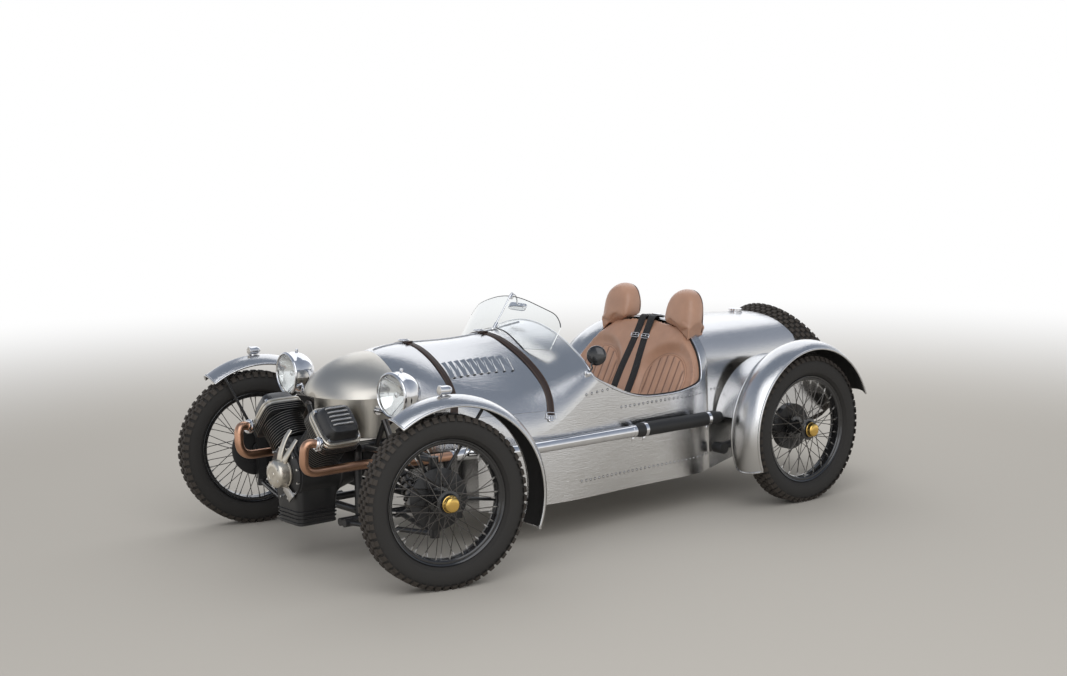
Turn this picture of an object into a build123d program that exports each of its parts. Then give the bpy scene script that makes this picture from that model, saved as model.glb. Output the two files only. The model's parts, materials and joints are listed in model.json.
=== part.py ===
from build123d import *
from math import asin, atan, cos, degrees, radians, sin, sqrt, tan
import os

# Open two-seat sports car with its V-twin engine out in front and four wire wheels.
# Millimetres. X runs back along the car, Y to its right, Z up from the ground.
# Stations are measured back from the front axle, and the finished car is moved
# forward at the end so that the origin lies on the ground under its middle.

# Layout
WHEELBASE = 2190.0
FRONT_TRACK = 1510.0
REAR_TRACK = 1300.0
MIDDLE_STATION = 1290.0
GAP = 0.3
REAR_AXLE = WHEELBASE

# Wheels and tyres
TYRE_RADIUS = 350.0
TYRE_WIDTH = 105.0
TREAD_WIDTH = 88.0
BEAD_RADIUS = 236.0
LUG_DEPTH = 9.0
LUG_COUNT = 60
LUG_LENGTH = 23.0
RIM_OUTER = 255.0
RIM_INNER = 229.0
RIM_WIDTH = 72.0
HUB_RADIUS = 38.0
HUB_HALF = 46.0
HUB_FLANGE_RADIUS = 52.0
CAP_RADIUS = 34.0
CAP_REACH = 86.0
SPOKE_RADIUS = 2.4
SPOKE_COUNT = 20
STUB_RADIUS = 15.0
STUB_CLEARANCE = 0.5
STUB_REACH = 18.0
WHEEL_RADIUS = TYRE_RADIUS

# Steering
KINGPIN_OFFSET = 90.0
PARKED_STEER = -11.0
KINGPIN_TOP = 500.0
KINGPIN_FOOT = 200.0
EYE_RADIUS = 20.0
EYE_HEIGHT = 30.0
ARM_LENGTH = 110.0
ARM_LEVEL = 262.0
ARM_THICKNESS = 16.0
ROD_RADIUS = 8.0
ROD_GAP = 5.0
RACK_RADIUS = 24.0
RACK_LENGTH = 300.0
BRAKE_RADIUS = 125.0
BRAKE_THICKNESS = 7.0

# Front wings
WING_RADIUS = 425.0
WING_EDGE_DROP = 36.0
FRONT_WING_WIDTH = 140.0
REAR_WING_WIDTH = 170.0
WING_WALL = 4.0
FRONT_WING_START = 126.0
FRONT_WING_END = -22.0
WING_SETBACK = 28.0
REAR_WING_START = 203.0
REAR_WING_END = 20.0
STRIP_RADIUS = 330.0
STRIP_START = 168.0
STRIP_INNER = 395.0
STAY_RADIUS = 7.0

# Body shell
WALL = 6.0
CREASE = 690.0
COWL_FOOT = 440.0
SKIRT_FOOT = 520.0
SKIRT_STEP = 8.0
SKIRT_SETBACK = 60.0
NOSE_SEAM = 150.0
NOSE_LENGTH = 290.0
BONNET_EDGE = 575.0
LOUVRE_COUNT = 9
LOUVRE_START = 385.0
LOUVRE_PITCH = 38.5
LOUVRE_BLADE = 26.5
LOUVRE_LENGTH = 92.0
LOUVRE_RISE = 7.0
LOUVRE_SIDE = 230.0
LOUVRE_WAIST = 14.0
LOUVRE_LEVEL = 769.0
LOUVRE_LEAN = 38.0

# Bonnet straps: station and height on top, how far each metre of side or height moves them back
FRONT_STRAP = (344.0, 868.0, 0.14, 0.117)
REAR_STRAP = (757.0, 880.0, 0.364, 0.418)
STRAP_WIDTH = 34.0
STRAP_FOOT = 555.0
STRAP_THICKNESS = 4.0
TUB_FRONT = 450.0
COCKPIT_END = 1820.0
SEAM = 1.0
FLOOR = 170.0

# Body sections: station, top, crown radius, crown angle, flank radius, flank angle,
# shoulder radius, lean of the side, underside
SECTIONS = [
    (150, 851, 220, 25, 420, 48, 160, 0, 169),
    (420, 872, 240, 25, 640, 46, 230, 1, 169),
    (800, 884, 260, 25, 1100, 42, 250, 3, 169),
    (1030, 914, 500, 15, 800, 38, 130, 2, 169),
    (1550, 890, 700, 12, 600, 38, 140, 2, 169),
    (1820, 865, 1200, 9, 260, 45, 180, 2, 169),
    (2380, 838, 600, 12, 260, 45, 160, 2, 250),
    (2990, 800, 400, 12, 170, 45, 110, 2, 330),
]

TAIL_ROW = 5

# Spare wheel, let into the sloping tail
SPARE_STATION = 2735.0
SPARE_HEIGHT = 540.0
SPARE_TILT = 60.0
DECK_WALL = 6.0
CARRIER_RADIUS = 34.0

# Cockpit rim seen from the side: station, height
RIM_POINTS = [(1031, 1300), (1031, 700), (1330, 568), (1620, 572), (1742, 596), (1925, 1300)]
RIM_BENDS = [25, 600, 600, 30]

# Windscreen
SCREEN_STATION = 800.0
SCREEN_FOOT = 820.0
SCREEN_TOP = 1030.0
SCREEN_LEAN = 34.0
SCREEN_HALF = 325.0
SCREEN_RADIUS = 600.0
SCREEN_WALL = 5.0
SCREEN_CREST = 900.0
SCREEN_FALL = 8.0
SCREEN_CORNER = 75.0
SCREEN_STAY = 4.0
SCREEN_STAY_FOOT = 893.0

# Seats
SEAT_STATION = 1800.0
SEAT_LEVEL = 865.0
SEAT_LEAN = 28.0
SEAT_SIDE = 240.0
SEAT_HOLLOW = 20.0
CUSHION_TOP = 400.0
CUSHION_LENGTH = 400.0
HEAD_STATION = 1805.0
HEAD_TOP = 1012.0
HEAD_WIDTH = 190.0
HEAD_DEPTH = 110.0
HEAD_SIDE = 220.0
BELT_WIDTH = 46.0
BELT_THICKNESS = 4.0
BELT_LENGTH = 360.0
BELT_LEVEL = 704.0

# Steering column, on the driver's side
COLUMN_FOOT = 462.0
COLUMN_END = 1190.0
COLUMN_HEIGHT = 690.0
COLUMN_SLOPE = 0.265
COLUMN_RADIUS = 14.0
DRIVER_SIDE = 200.0

# Engine, a lengthwise crank with its cylinders at right angles
CRANK_HEIGHT = 386.0
ENGINE_STATION = -175.0
CASE_RADIUS = 120.0
BARREL_FOOT = 125.0
BARREL_TOP = 255.0
BARREL_RADIUS = 62.0
FIN_RADIUS = 92.0
FIN_COUNT = 8
FIN_THICKNESS = 4.0
HEAD_SIZE = 190.0
HEAD_END = 325.0
COVER_SIZE = 168.0
COVER_END = 385.0
VEE_ANGLE = 47.0
FRONT_COVER_RADIUS = 65.0
SUMP_FOOT = 165.0
GEARBOX_FOOT = 322.0

# Exhaust
HEADER_RADIUS = 19.0
PIPE_RADIUS = 26.5
SILENCER_RADIUS = 36.5
HEADER_END = 300.0
PIPE_SIDE = 514.0
PIPE_HEIGHT = 440.0
SILENCER_START = 1230.0
SILENCER_END = 1770.0

# Lamps
LAMP_RADIUS = 95.0
LAMP_LIP = 9.0
LAMP_FRONT = -36.0
LAMP_SEAT = -20.0
LENS_RISE = 16.0
LAMP_ARM = 640.0
LAMP_STATION = 20.0
LAMP_SIDE = 400.0
LAMP_HEIGHT = 730.0

# Frame
TUBE_RADIUS = 17.0
RAIL_SIDE = 205.0
LOWER_RAIL = 190.0
UPPER_RAIL = 495.0
WISHBONE_RADIUS = 11.0
LOWER_ROOTS = (-130.0, 130.0)
UPPER_ROOTS = (-45.0, 130.0)
LOWER_RAIL_FRONT = -150.0
UPPER_RAIL_FRONT = -70.0
DAMPER_STATION = 25.0
AXLE_RADIUS = 30.0


def rod(start, end, radius):
    """Round bar between two points."""
    way = Vector(*end) - Vector(*start)
    return extrude(Plane(origin=start, z_dir=way) * Circle(radius), way.length)


def pipe(points, bend, radius):
    """Round pipe along straight runs joined by arcs."""
    path = FilletPolyline(*points, radius=bend)
    return sweep(Plane(origin=path @ 0, z_dir=path % 0) * Circle(radius), path=path)


def both_sides(shape):
    """The piece and its mirror image on the other side of the car."""
    return [shape, mirror(shape, about=Plane.XZ)]


def along_arc(start, radius, first, last):
    """End of an arc whose tangent drops from the first to the last angle."""
    reach = radius * (sin(radians(last)) - sin(radians(first)))
    drop = radius * (cos(radians(last)) - cos(radians(first)))
    return (start[0] + reach, start[1] + drop)


def shoulder_points(row, wall):
    """Half of a body section: crown end, flank, shoulder, and where its side starts."""
    station, top, crown, crown_end, flank, flank_end, shoulder, lean, foot = row
    crown_point = along_arc((0, top - wall), crown - wall, 0, crown_end)
    flank_middle = along_arc(crown_point, flank - wall, crown_end, (crown_end + flank_end) / 2)
    flank_point = along_arc(crown_point, flank - wall, crown_end, flank_end)
    side_angle = 90 - lean
    shoulder_middle = along_arc(flank_point, shoulder - wall, flank_end, (flank_end + side_angle) / 2)
    side_point = along_arc(flank_point, shoulder - wall, flank_end, side_angle)
    return crown_point, flank_middle, flank_point, shoulder_middle, side_point


def body_section(row, wall):
    """Closed body section: crown, two flanks, two shoulders, two sides and the underside."""
    station, top, lean, foot = row[0], row[1] - wall, row[7], row[8] + wall
    half = list(shoulder_points(row, wall))
    side = half[-1]
    half.append((side[0] + (side[1] - foot) * tan(radians(lean)), foot))
    far = [Vector(station, y, z) for y, z in half]
    near = [Vector(station, -y, z) for y, z in half]
    edges = [
        ThreePointArc(near[0], Vector(station, 0, top), far[0]),
        ThreePointArc(far[0], far[1], far[2]),
        ThreePointArc(far[2], far[3], far[4]),
        Line(far[4], far[5]),
        Line(far[5], near[5]),
        Line(near[5], near[4]),
        ThreePointArc(near[4], near[3], near[2]),
        ThreePointArc(near[2], near[1], near[0]),
    ]
    return Face(Wire(edges))


def front_body(wall):
    """Body form from the nose seam to the cockpit's end, drawn in by a wall."""
    return loft([body_section(row, wall) for row in SECTIONS[:TAIL_ROW + 1]])


def tail_body(wall):
    """Body form behind the cockpit, drawn in by a wall."""
    return loft([body_section(row, wall) for row in SECTIONS[TAIL_ROW:]])


def nose_section(share, wall):
    """The seam's section above the crease, scaled towards the crease line."""
    row = SECTIONS[0]
    crown_point, flank_middle, flank_point, shoulder_middle, side_point = shoulder_points(row, wall)
    shoulder = row[6] - wall
    centre_height = flank_point[1] - shoulder * cos(radians(row[5]))
    crease_angle = 90 - degrees(atan((CREASE - centre_height) / shoulder))
    low_middle = along_arc(flank_point, shoulder, row[5], (row[5] + crease_angle) / 2)
    low_point = along_arc(flank_point, shoulder, row[5], crease_angle)
    station = NOSE_SEAM - (NOSE_LENGTH - wall) * sqrt(1 - share * share)
    half = [crown_point, flank_middle, flank_point, low_middle, low_point]
    scaled = [(y * share, CREASE + (z - low_point[1]) * share) for y, z in half]
    top = CREASE + (row[1] - wall - low_point[1]) * share
    far = [Vector(station, y, z) for y, z in scaled]
    near = [Vector(station, -y, z) for y, z in scaled]
    edges = [
        ThreePointArc(near[0], Vector(station, 0, top), far[0]),
        ThreePointArc(far[0], far[1], far[2]),
        ThreePointArc(far[2], far[3], far[4]),
        Line(far[4], near[4]),
        ThreePointArc(near[4], near[3], near[2]),
        ThreePointArc(near[2], near[1], near[0]),
    ]
    return Face(Wire(edges))


def block(x_range, y_range, z_range):
    """Box between two limits on each axis."""
    size = [high - low for low, high in (x_range, y_range, z_range)]
    middle = [(high + low) / 2 for low, high in (x_range, y_range, z_range)]
    return Pos(*middle) * Box(*size)


def side_cut(points, bends):
    """Prism across the whole car with a rounded outline seen from the side."""
    path = FilletPolyline(*[(x, 0, z) for x, z in points], radius=bends)
    outline = Wire(list(path.edges()) + [Line(path @ 1, path @ 0)])
    return extrude(Face(outline), 700, both=True, dir=(0, 1, 0))


def nose_cowl():
    """Domed nose above the crease, with brushed upright sides under it."""
    shares = [1.0, 0.93, 0.8, 0.6, 0.35, 0.12]
    dome = loft([nose_section(share, 0) for share in shares])
    dome -= loft([nose_section(share, WALL) for share in shares])
    half_width = skirt_side(NOSE_SEAM)
    prow_length = NOSE_LENGTH - SKIRT_SETBACK
    skirts = []
    for wall in (0, WALL):
        skirt = Pos(NOSE_SEAM, 0, 0) * Ellipse(prow_length - wall, half_width - wall)
        skirts.append(extrude(Pos(0, 0, SKIRT_FOOT) * skirt, CREASE - SKIRT_FOOT))
    skirt = (skirts[0] - skirts[1]) & block((-300, NOSE_SEAM), (-400, 400), (0, 900))
    return dome + skirt


def body_shell():
    """Open skin of the front body, cut away at the front under the cowl."""
    shell = front_body(0) - front_body(WALL) - block((0, 1900), (-600, 600), (0, FLOOR))
    return shell - block((0, TUB_FRONT), (-600, 600), (0, COWL_FOOT))


def strap_slab(strap, ahead, behind):
    """Slab on the near side along a strap's leaning line, from ahead of it to behind it."""
    station, height, sweep, rake = strap
    line = Plane(origin=(station, 0, height), x_dir=(0, 1, 0), z_dir=(1, sweep, -rake))
    slab = extrude(line * Rectangle(1600, 1600), behind + ahead, dir=line.z_dir)
    return (Pos(*(line.z_dir * -ahead)) * slab) & block((-500, 2200), (-700, 0), (0, 1600))


def bonnet_region(gap):
    """Part of the skin that the bonnet covers, back to the middle of its rear strap."""
    behind = strap_slab(REAR_STRAP, -gap, 900)
    return block((NOSE_SEAM - gap, 1000), (-600, 600), (BONNET_EDGE - gap, 1200)) - both_sides(behind)


def louvres():
    """Row of pressed louvres on the near flank of the bonnet, raised towards the tail."""
    inside = front_body(WALL - 1)
    points = [(0, -12), (0, 0), (LOUVRE_BLADE, LOUVRE_RISE), (LOUVRE_BLADE, -12)]
    blade = extrude(Plane.XZ * make_face(Polyline(*points, close=True)), LOUVRE_LENGTH / 2, both=True)
    row = []
    for number in range(LOUVRE_COUNT):
        share = 2 * number / (LOUVRE_COUNT - 1) - 1
        side = LOUVRE_SIDE - LOUVRE_WAIST * (1 - share * share)
        place = Pos(LOUVRE_START + LOUVRE_PITCH * number, -side, LOUVRE_LEVEL) * Rot(X=LOUVRE_LEAN)
        row.append(place * blade - inside)
    return row


def bonnet(shell):
    """Bonnet skin with a row of louvres on each flank."""
    blades = [shape for blade in louvres() for shape in both_sides(blade)]
    return (shell & bonnet_region(-SEAM)) + blades


def body_tub(shell):
    """Floor, sides and scuttle round the cockpit, with the firewall."""
    tub = shell & block((NOSE_SEAM + SEAM, COCKPIT_END - SEAM), (-600, 600), (0, 1200))
    tub -= bonnet_region(0)
    tub -= side_cut(RIM_POINTS, RIM_BENDS)
    wall = front_body(WALL - 0.5) & block((TUB_FRONT, TUB_FRONT + WALL), (-600, 600), (0, BONNET_EDGE))
    return tub + wall


def deck_plane(offset):
    """Plane of the sloping deck under the spare wheel."""
    tilt = radians(SPARE_TILT)
    rise = -TYRE_WIDTH / 2 - GAP - offset
    origin = (SPARE_STATION + rise * sin(tilt), 0, SPARE_HEIGHT + rise * cos(tilt))
    return Plane(origin=origin, x_dir=(0, 1, 0), z_dir=(sin(tilt), 0, cos(tilt)))


def spare_carrier():
    """Collar and stub on the sloping panel that carry the spare wheel by its hub."""
    seat = TYRE_WIDTH / 2 + GAP
    collar = extrude(deck_plane(0) * Circle(CARRIER_RADIUS), seat - HUB_HALF - GAP)
    return collar + extrude(deck_plane(0) * Circle(STUB_RADIUS), seat + STUB_REACH)


def tail_shell():
    """Barrel tail closed by a steep panel for the spare wheel, with slots for the axle."""
    above = extrude(deck_plane(0) * Rectangle(1400, 1400), 700)
    below = extrude(deck_plane(DECK_WALL) * Rectangle(1400, 1400), 700)
    tail = tail_body(0) - above - (tail_body(WALL) - below)
    slot = block((REAR_AXLE - 80, REAR_AXLE + 80), (-600, 600), (100, WHEEL_RADIUS + 110))
    inner = block((REAR_AXLE - 80, REAR_AXLE + 80), (-200, 200), (100, WHEEL_RADIUS + 110))
    tail -= slot - inner
    tail -= block((REAR_AXLE - 150, REAR_AXLE + 150), (-200, 200), (100, 300))
    return tail + spare_carrier()


def tyre():
    """Tyre about the Y axis, with shoulder lugs round both edges."""
    side = TYRE_WIDTH / 2
    tread = TREAD_WIDTH / 2
    base = TYRE_RADIUS - LUG_DEPTH
    waist = (BEAD_RADIUS + TYRE_RADIUS) / 2
    seat = RIM_WIDTH / 2 - 12 - 2 * GAP
    lip = RIM_WIDTH / 2 - 8 - 2 * GAP
    half = [(seat, BEAD_RADIUS), (lip, RIM_OUTER + 2 * GAP), (side - 12, RIM_OUTER + 8), (side, waist), (tread, base)]
    points = half + [(-y, r) for y, r in reversed(half)]
    profile = make_face(Polyline(*[(r, y, 0) for y, r in points], close=True))
    ring = revolve(profile, axis=Axis.Y)
    lug = block((base - 12, TYRE_RADIUS), (-tread, tread), (-LUG_LENGTH / 2, LUG_LENGTH / 2))
    lugs = [Rot(Y=360 / LUG_COUNT * number) * lug for number in range(LUG_COUNT)]
    return ring + lugs


def wire_wheel(disc):
    """Rim, laced spokes, hub and cap about the Y axis, facing -Y."""
    rim_points = [
        (RIM_WIDTH / 2, RIM_OUTER),
        (RIM_WIDTH / 2 - 8, RIM_OUTER),
        (RIM_WIDTH / 2 - 12, BEAD_RADIUS - GAP),
        (-RIM_WIDTH / 2 + 12, BEAD_RADIUS - GAP),
        (-RIM_WIDTH / 2 + 8, RIM_OUTER),
        (-RIM_WIDTH / 2, RIM_OUTER),
        (-RIM_WIDTH / 2 + 8, RIM_INNER),
        (RIM_WIDTH / 2 - 8, RIM_INNER),
    ]
    rim = revolve(make_face(Polyline(*[(r, y, 0) for y, r in rim_points], close=True)), axis=Axis.Y)
    hub_points = [
        (HUB_HALF, 0),
        (HUB_HALF, HUB_FLANGE_RADIUS),
        (HUB_HALF - 8, HUB_FLANGE_RADIUS),
        (HUB_HALF - 12, HUB_RADIUS),
        (-HUB_HALF + 12, HUB_RADIUS),
        (-HUB_HALF + 8, HUB_FLANGE_RADIUS),
        (-HUB_HALF, HUB_FLANGE_RADIUS),
        (-HUB_HALF - 4, CAP_RADIUS),
        (-CAP_REACH + 8, CAP_RADIUS),
        (-CAP_REACH, CAP_RADIUS - 10),
        (-CAP_REACH, 0),
    ]
    wheel = revolve(make_face(Polyline(*[(r, y, 0) for y, r in hub_points], close=True)), axis=Axis.Y) + rim
    spokes = []
    for number in range(SPOKE_COUNT):
        for side in (-1, 1):
            turn = 360 / SPOKE_COUNT * (number + 0.25 * side)
            cross = 40 if number % 2 else -40
            foot = (HUB_FLANGE_RADIUS - 6) * cos(radians(turn + cross)), (HUB_FLANGE_RADIUS - 6) * sin(radians(turn + cross))
            head = (RIM_INNER + 3) * cos(radians(turn)), (RIM_INNER + 3) * sin(radians(turn))
            start = Vector(foot[0], side * (HUB_HALF - 4), foot[1])
            way = Vector(head[0], side * 10, head[1]) - start
            spokes.append(extrude(Plane(origin=start, z_dir=way) * RegularPolygon(SPOKE_RADIUS, 5), way.length))
    wheel += spokes
    if disc:
        wheel += Pos(0, HUB_HALF + BRAKE_THICKNESS / 2, 0) * Rot(X=90) * Cylinder(BRAKE_RADIUS, BRAKE_THICKNESS)
    bore = Pos(0, -STUB_REACH - 2, 0) * Rot(X=-90) * extrude(Circle(STUB_RADIUS + STUB_CLEARANCE), 200)
    return wheel - bore


def wing_sheet(width, start, end):
    """Crowned sheet arched about the Y axis between two angles seen from the near side."""
    half = width / 2
    edge = WING_RADIUS - WING_EDGE_DROP
    outer = ThreePointArc((edge, -half, 0), (WING_RADIUS, 0, 0), (edge, half, 0))
    inner = ThreePointArc((edge - WING_WALL, -half, 0), (WING_RADIUS - WING_WALL, 0, 0), (edge - WING_WALL, half, 0))
    profile = make_face([outer, inner, Line(outer @ 0, inner @ 0), Line(outer @ 1, inner @ 1)])
    return arch(profile, start, end)


def arch(profile, start, end):
    """Profile in the XY plane swept about the Y axis, from the front angle back to the end."""
    return revolve(Rot(Y=-start) * profile, axis=Axis.Y, revolution_arc=start - end)


def knuckle():
    """Near upright about its kingpin at the origin: stub axle, steering arm and caliper."""
    top = KINGPIN_TOP - EYE_HEIGHT / 2 - GAP
    foot = KINGPIN_FOOT + EYE_HEIGHT / 2 + GAP
    stub_end = KINGPIN_OFFSET + STUB_REACH
    upright = block((-20, 20), (-18, 14), (foot, top))
    upright += Pos(0, -stub_end / 2, WHEEL_RADIUS) * Rot(X=90) * Cylinder(STUB_RADIUS, stub_end)
    upright += Pos(0, -8, WHEEL_RADIUS) * Rot(X=90) * Cylinder(34, 22)
    arm_z = (ARM_LEVEL - ARM_THICKNESS / 2, ARM_LEVEL + ARM_THICKNESS / 2)
    upright += block((0, ARM_LENGTH), (-10, 10), arm_z)
    upright += Pos(ARM_LENGTH, 0, ARM_LEVEL) * Cylinder(14, ARM_THICKNESS)
    return upright


def wing_stays():
    """Stays that carry the near front wing, inboard of the tyre."""
    edge = -KINGPIN_OFFSET + FRONT_WING_WIDTH / 2
    reach = WING_RADIUS - WING_EDGE_DROP - WING_WALL - 1
    stays = []
    for angle in (118, 62, -8):
        tip = (WING_SETBACK + reach * cos(radians(angle)), edge - 4, WHEEL_RADIUS + reach * sin(radians(angle)))
        root = (12 * cos(radians(angle)), -4, WHEEL_RADIUS + 40 * sin(radians(angle)))
        stays.append(rod(root, tip, STAY_RADIUS))
    return stays


def side_lamp():
    """Small bullet lamp that stands on the front wing."""
    lamp = Pos(0, 0, 22) * Rot(Y=90) * Cylinder(18, 34)
    lamp += Pos(17, 0, 22) * Sphere(18)
    return lamp + Pos(0, 0, 4) * Cylinder(7, 16)


def kingpin_place(side):
    """Location of a kingpin: 1 for the near side, -1 for the far one."""
    return Pos(0, -side * (FRONT_TRACK / 2 - KINGPIN_OFFSET), 0)


def front_corner(name, side, rubber):
    """Knuckle, wing, tyre and wheel of one front corner, steered as it is parked."""
    place = kingpin_place(side) * Rot(Z=PARKED_STEER)
    hub_place = Pos(0, -KINGPIN_OFFSET, WHEEL_RADIUS)
    wing = hub_place * Pos(WING_SETBACK, 0, 0) * wing_sheet(FRONT_WING_WIDTH, FRONT_WING_START, FRONT_WING_END)
    wing += Pos(5, -KINGPIN_OFFSET, WHEEL_RADIUS + WING_RADIUS - 3) * side_lamp()
    pieces = {
        f"knuckle_{name}": knuckle() + wing_stays(),
        f"wing_front_{name}": wing,
        f"tyre_front_{name}": hub_place * rubber,
        f"wheel_front_{name}": hub_place * wire_wheel(True),
    }
    if side < 0:
        pieces = {key: mirror(shape, about=Plane.XZ) for key, shape in pieces.items()}
    return {key: place * shape for key, shape in pieces.items()}


def rear_corner(name, side, rubber, wheel):
    place = Pos(REAR_AXLE, -REAR_TRACK / 2, WHEEL_RADIUS)
    pieces = {f"tyre_rear_{name}": place * rubber, f"wheel_rear_{name}": place * wheel}
    if side < 0:
        pieces = {key: mirror(shape, about=Plane.XZ) for key, shape in pieces.items()}
    return pieces


def rear_wings():
    """Arched rear wings, each with a lower strip that joins it to the body side."""
    half = REAR_WING_WIDTH / 2
    edge = WING_RADIUS - WING_EDGE_DROP
    side = REAR_TRACK / 2
    place = Pos(REAR_AXLE, -side, WHEEL_RADIUS)
    wing = wing_sheet(REAR_WING_WIDTH, REAR_WING_START, REAR_WING_END)
    inner = side - STRIP_INNER
    lip = STRIP_RADIUS + WING_WALL
    step_points = [
        (STRIP_RADIUS, half - WING_WALL),
        (edge - 1, half - WING_WALL),
        (edge - 1, half),
        (lip, half),
        (lip, inner),
        (STRIP_RADIUS, inner),
    ]
    wing += arch(make_face(Polyline(*step_points, close=True)), STRIP_START, REAR_WING_END)
    return both_sides(place * wing)


def vee(shape, side):
    """A piece of the upright cylinder laid over to one side of the crank."""
    lean = Pos(ENGINE_STATION, 0, CRANK_HEIGHT) * Rot(X=VEE_ANGLE) * shape
    return lean if side > 0 else mirror(lean, about=Plane.XZ)


def cylinders():
    """Two finned barrels with their square finned heads."""
    height = BARREL_TOP - BARREL_FOOT
    barrel = Pos(0, 0, BARREL_FOOT + height / 2) * Cylinder(BARREL_RADIUS, height)
    pitch = height / FIN_COUNT
    for number in range(FIN_COUNT):
        fin = Pos(0, 0, BARREL_FOOT + pitch * (number + 0.6)) * Cylinder(FIN_RADIUS, FIN_THICKNESS)
        barrel += fin
    head_height = HEAD_END - BARREL_TOP
    head = Pos(0, 0, BARREL_TOP + head_height / 2) * Box(HEAD_SIZE - 40, HEAD_SIZE - 40, head_height)
    for number in range(4):
        level = BARREL_TOP + head_height * (number + 0.5) / 4
        head += Pos(0, 0, level) * Box(HEAD_SIZE, HEAD_SIZE, FIN_THICKNESS + 2)
    return [vee(barrel + head, side) for side in (1, -1)]


def rocker_covers():
    """Ribbed rocker covers on the two heads."""
    height = COVER_END - HEAD_END
    cover = extrude(Pos(0, 0, HEAD_END + GAP) * RectangleRounded(COVER_SIZE, COVER_SIZE, 34), height - 8, taper=12)
    for number in range(4):
        cover += Pos(-42 + 28 * number, 0, COVER_END - 12) * Box(8, COVER_SIZE - 60, 16)
    return [vee(cover, side) for side in (1, -1)]


def engine_case():
    """Crankcase with its sump and bell housing, and the gearbox behind it, between the rails."""
    front = ENGINE_STATION - 110
    case = Pos(ENGINE_STATION - 5, 0, CRANK_HEIGHT) * Rot(Y=90) * Cylinder(CASE_RADIUS, 210)
    case += block((front + 5, ENGINE_STATION + 100), (-100, 100), (SUMP_FOOT, CRANK_HEIGHT))
    for side in (1, -1):
        neck = Pos(0, 0, BARREL_FOOT / 2) * Box(150, 150, BARREL_FOOT - 2 * GAP)
        case += vee(neck, side)
    bell = Pos(ENGINE_STATION + 100, 0, CRANK_HEIGHT) * Rot(Y=90) * extrude(Circle(CASE_RADIUS), 130, taper=18)
    case += bell
    gearbox = block((ENGINE_STATION + 230 + GAP, TUB_FRONT - 1), (-85, 85), (GEARBOX_FOOT, GEARBOX_FOOT + 135))
    return [case, gearbox]


def front_cover():
    """Round generator cover on the crank's nose."""
    cover = Pos(ENGINE_STATION - 110 - GAP, 0, CRANK_HEIGHT) * Rot(Y=-90)
    disc = extrude(Circle(FRONT_COVER_RADIUS), 60, taper=6)
    return cover * disc


def exhaust_headers():
    """Copper pipes from the head fronts, down and back to the long side pipes."""
    port = (-285, -272, 545)
    points = [port, (-345, -262, 560), (-352, -250, 427), (-20, -250, 427), (110, -400, 440), (HEADER_END, -400, 438)]
    header = pipe(points, [26, 60, 60, 60], HEADER_RADIUS)
    return both_sides(header)


def side_pipes():
    """Bright pipes along both sides, up to the silencers."""
    start = HEADER_END + GAP
    points = [
        (start, -400, 438),
        (start + 50, -400, 438),
        (start + 230, -PIPE_SIDE, PIPE_HEIGHT),
        (SILENCER_START - GAP, -PIPE_SIDE, PIPE_HEIGHT),
    ]
    return both_sides(pipe(points, [80, 80], PIPE_RADIUS))


def silencers():
    """Black silencers with their tailpipes."""
    body = Pos((SILENCER_START + SILENCER_END) / 2, -PIPE_SIDE, PIPE_HEIGHT) * Rot(Y=90)
    return both_sides(body * Cylinder(SILENCER_RADIUS, SILENCER_END - SILENCER_START))


def skirt_side(station):
    """Half width of the cowl's upright sides at a station."""
    half_width = nose_section(1.0, 0).bounding_box().max.Y - SKIRT_STEP
    ahead = (NOSE_SEAM - station) / (NOSE_LENGTH - SKIRT_SETBACK)
    return half_width * sqrt(1 - ahead * ahead)


def lamp_place():
    return Pos(LAMP_STATION, -LAMP_SIDE, LAMP_HEIGHT)


def headlamp_shells():
    """Chrome bowls with their rims and the brackets to the cowl."""
    rim = LAMP_RADIUS - LAMP_LIP
    waist = LAMP_FRONT + 30
    slant = LAMP_RADIUS * sqrt(0.5)
    bowl = ThreePointArc((waist, LAMP_RADIUS, 0), (waist + slant, slant, 0), (waist + LAMP_RADIUS, 0, 0))
    front = [(LAMP_SEAT, 0, 0), (LAMP_SEAT, rim, 0), (LAMP_FRONT, rim, 0), (LAMP_FRONT, LAMP_RADIUS, 0)]
    inside = Polyline(bowl @ 1, *front, bowl @ 0)
    shell = lamp_place() * revolve(make_face([bowl, inside]), axis=Axis.X)
    post = LAMP_STATION + 20
    shell += rod((post, -LAMP_SIDE, LAMP_HEIGHT - LAMP_RADIUS + 12), (post, -LAMP_SIDE, LAMP_ARM - 10), 10)
    shell += rod((post, -LAMP_SIDE, LAMP_ARM), (post, -skirt_side(post + 9) - 1, LAMP_ARM), 9)
    return both_sides(shell)


def headlamp_lenses():
    rim = LAMP_RADIUS - LAMP_LIP - GAP
    bulge = (rim**2 + LENS_RISE**2) / (2 * LENS_RISE)
    half_angle = asin(rim / bulge) / 2
    crest = LAMP_FRONT - LENS_RISE
    middle = (crest + bulge * (1 - cos(half_angle)), bulge * sin(half_angle), 0)
    glass = ThreePointArc((LAMP_FRONT, rim, 0), middle, (crest, 0, 0))
    back = Polyline(glass @ 1, (LAMP_SEAT - GAP, 0, 0), (LAMP_SEAT - GAP, rim, 0), glass @ 0)
    return both_sides(lamp_place() * revolve(make_face([glass, back]), axis=Axis.X))


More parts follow.
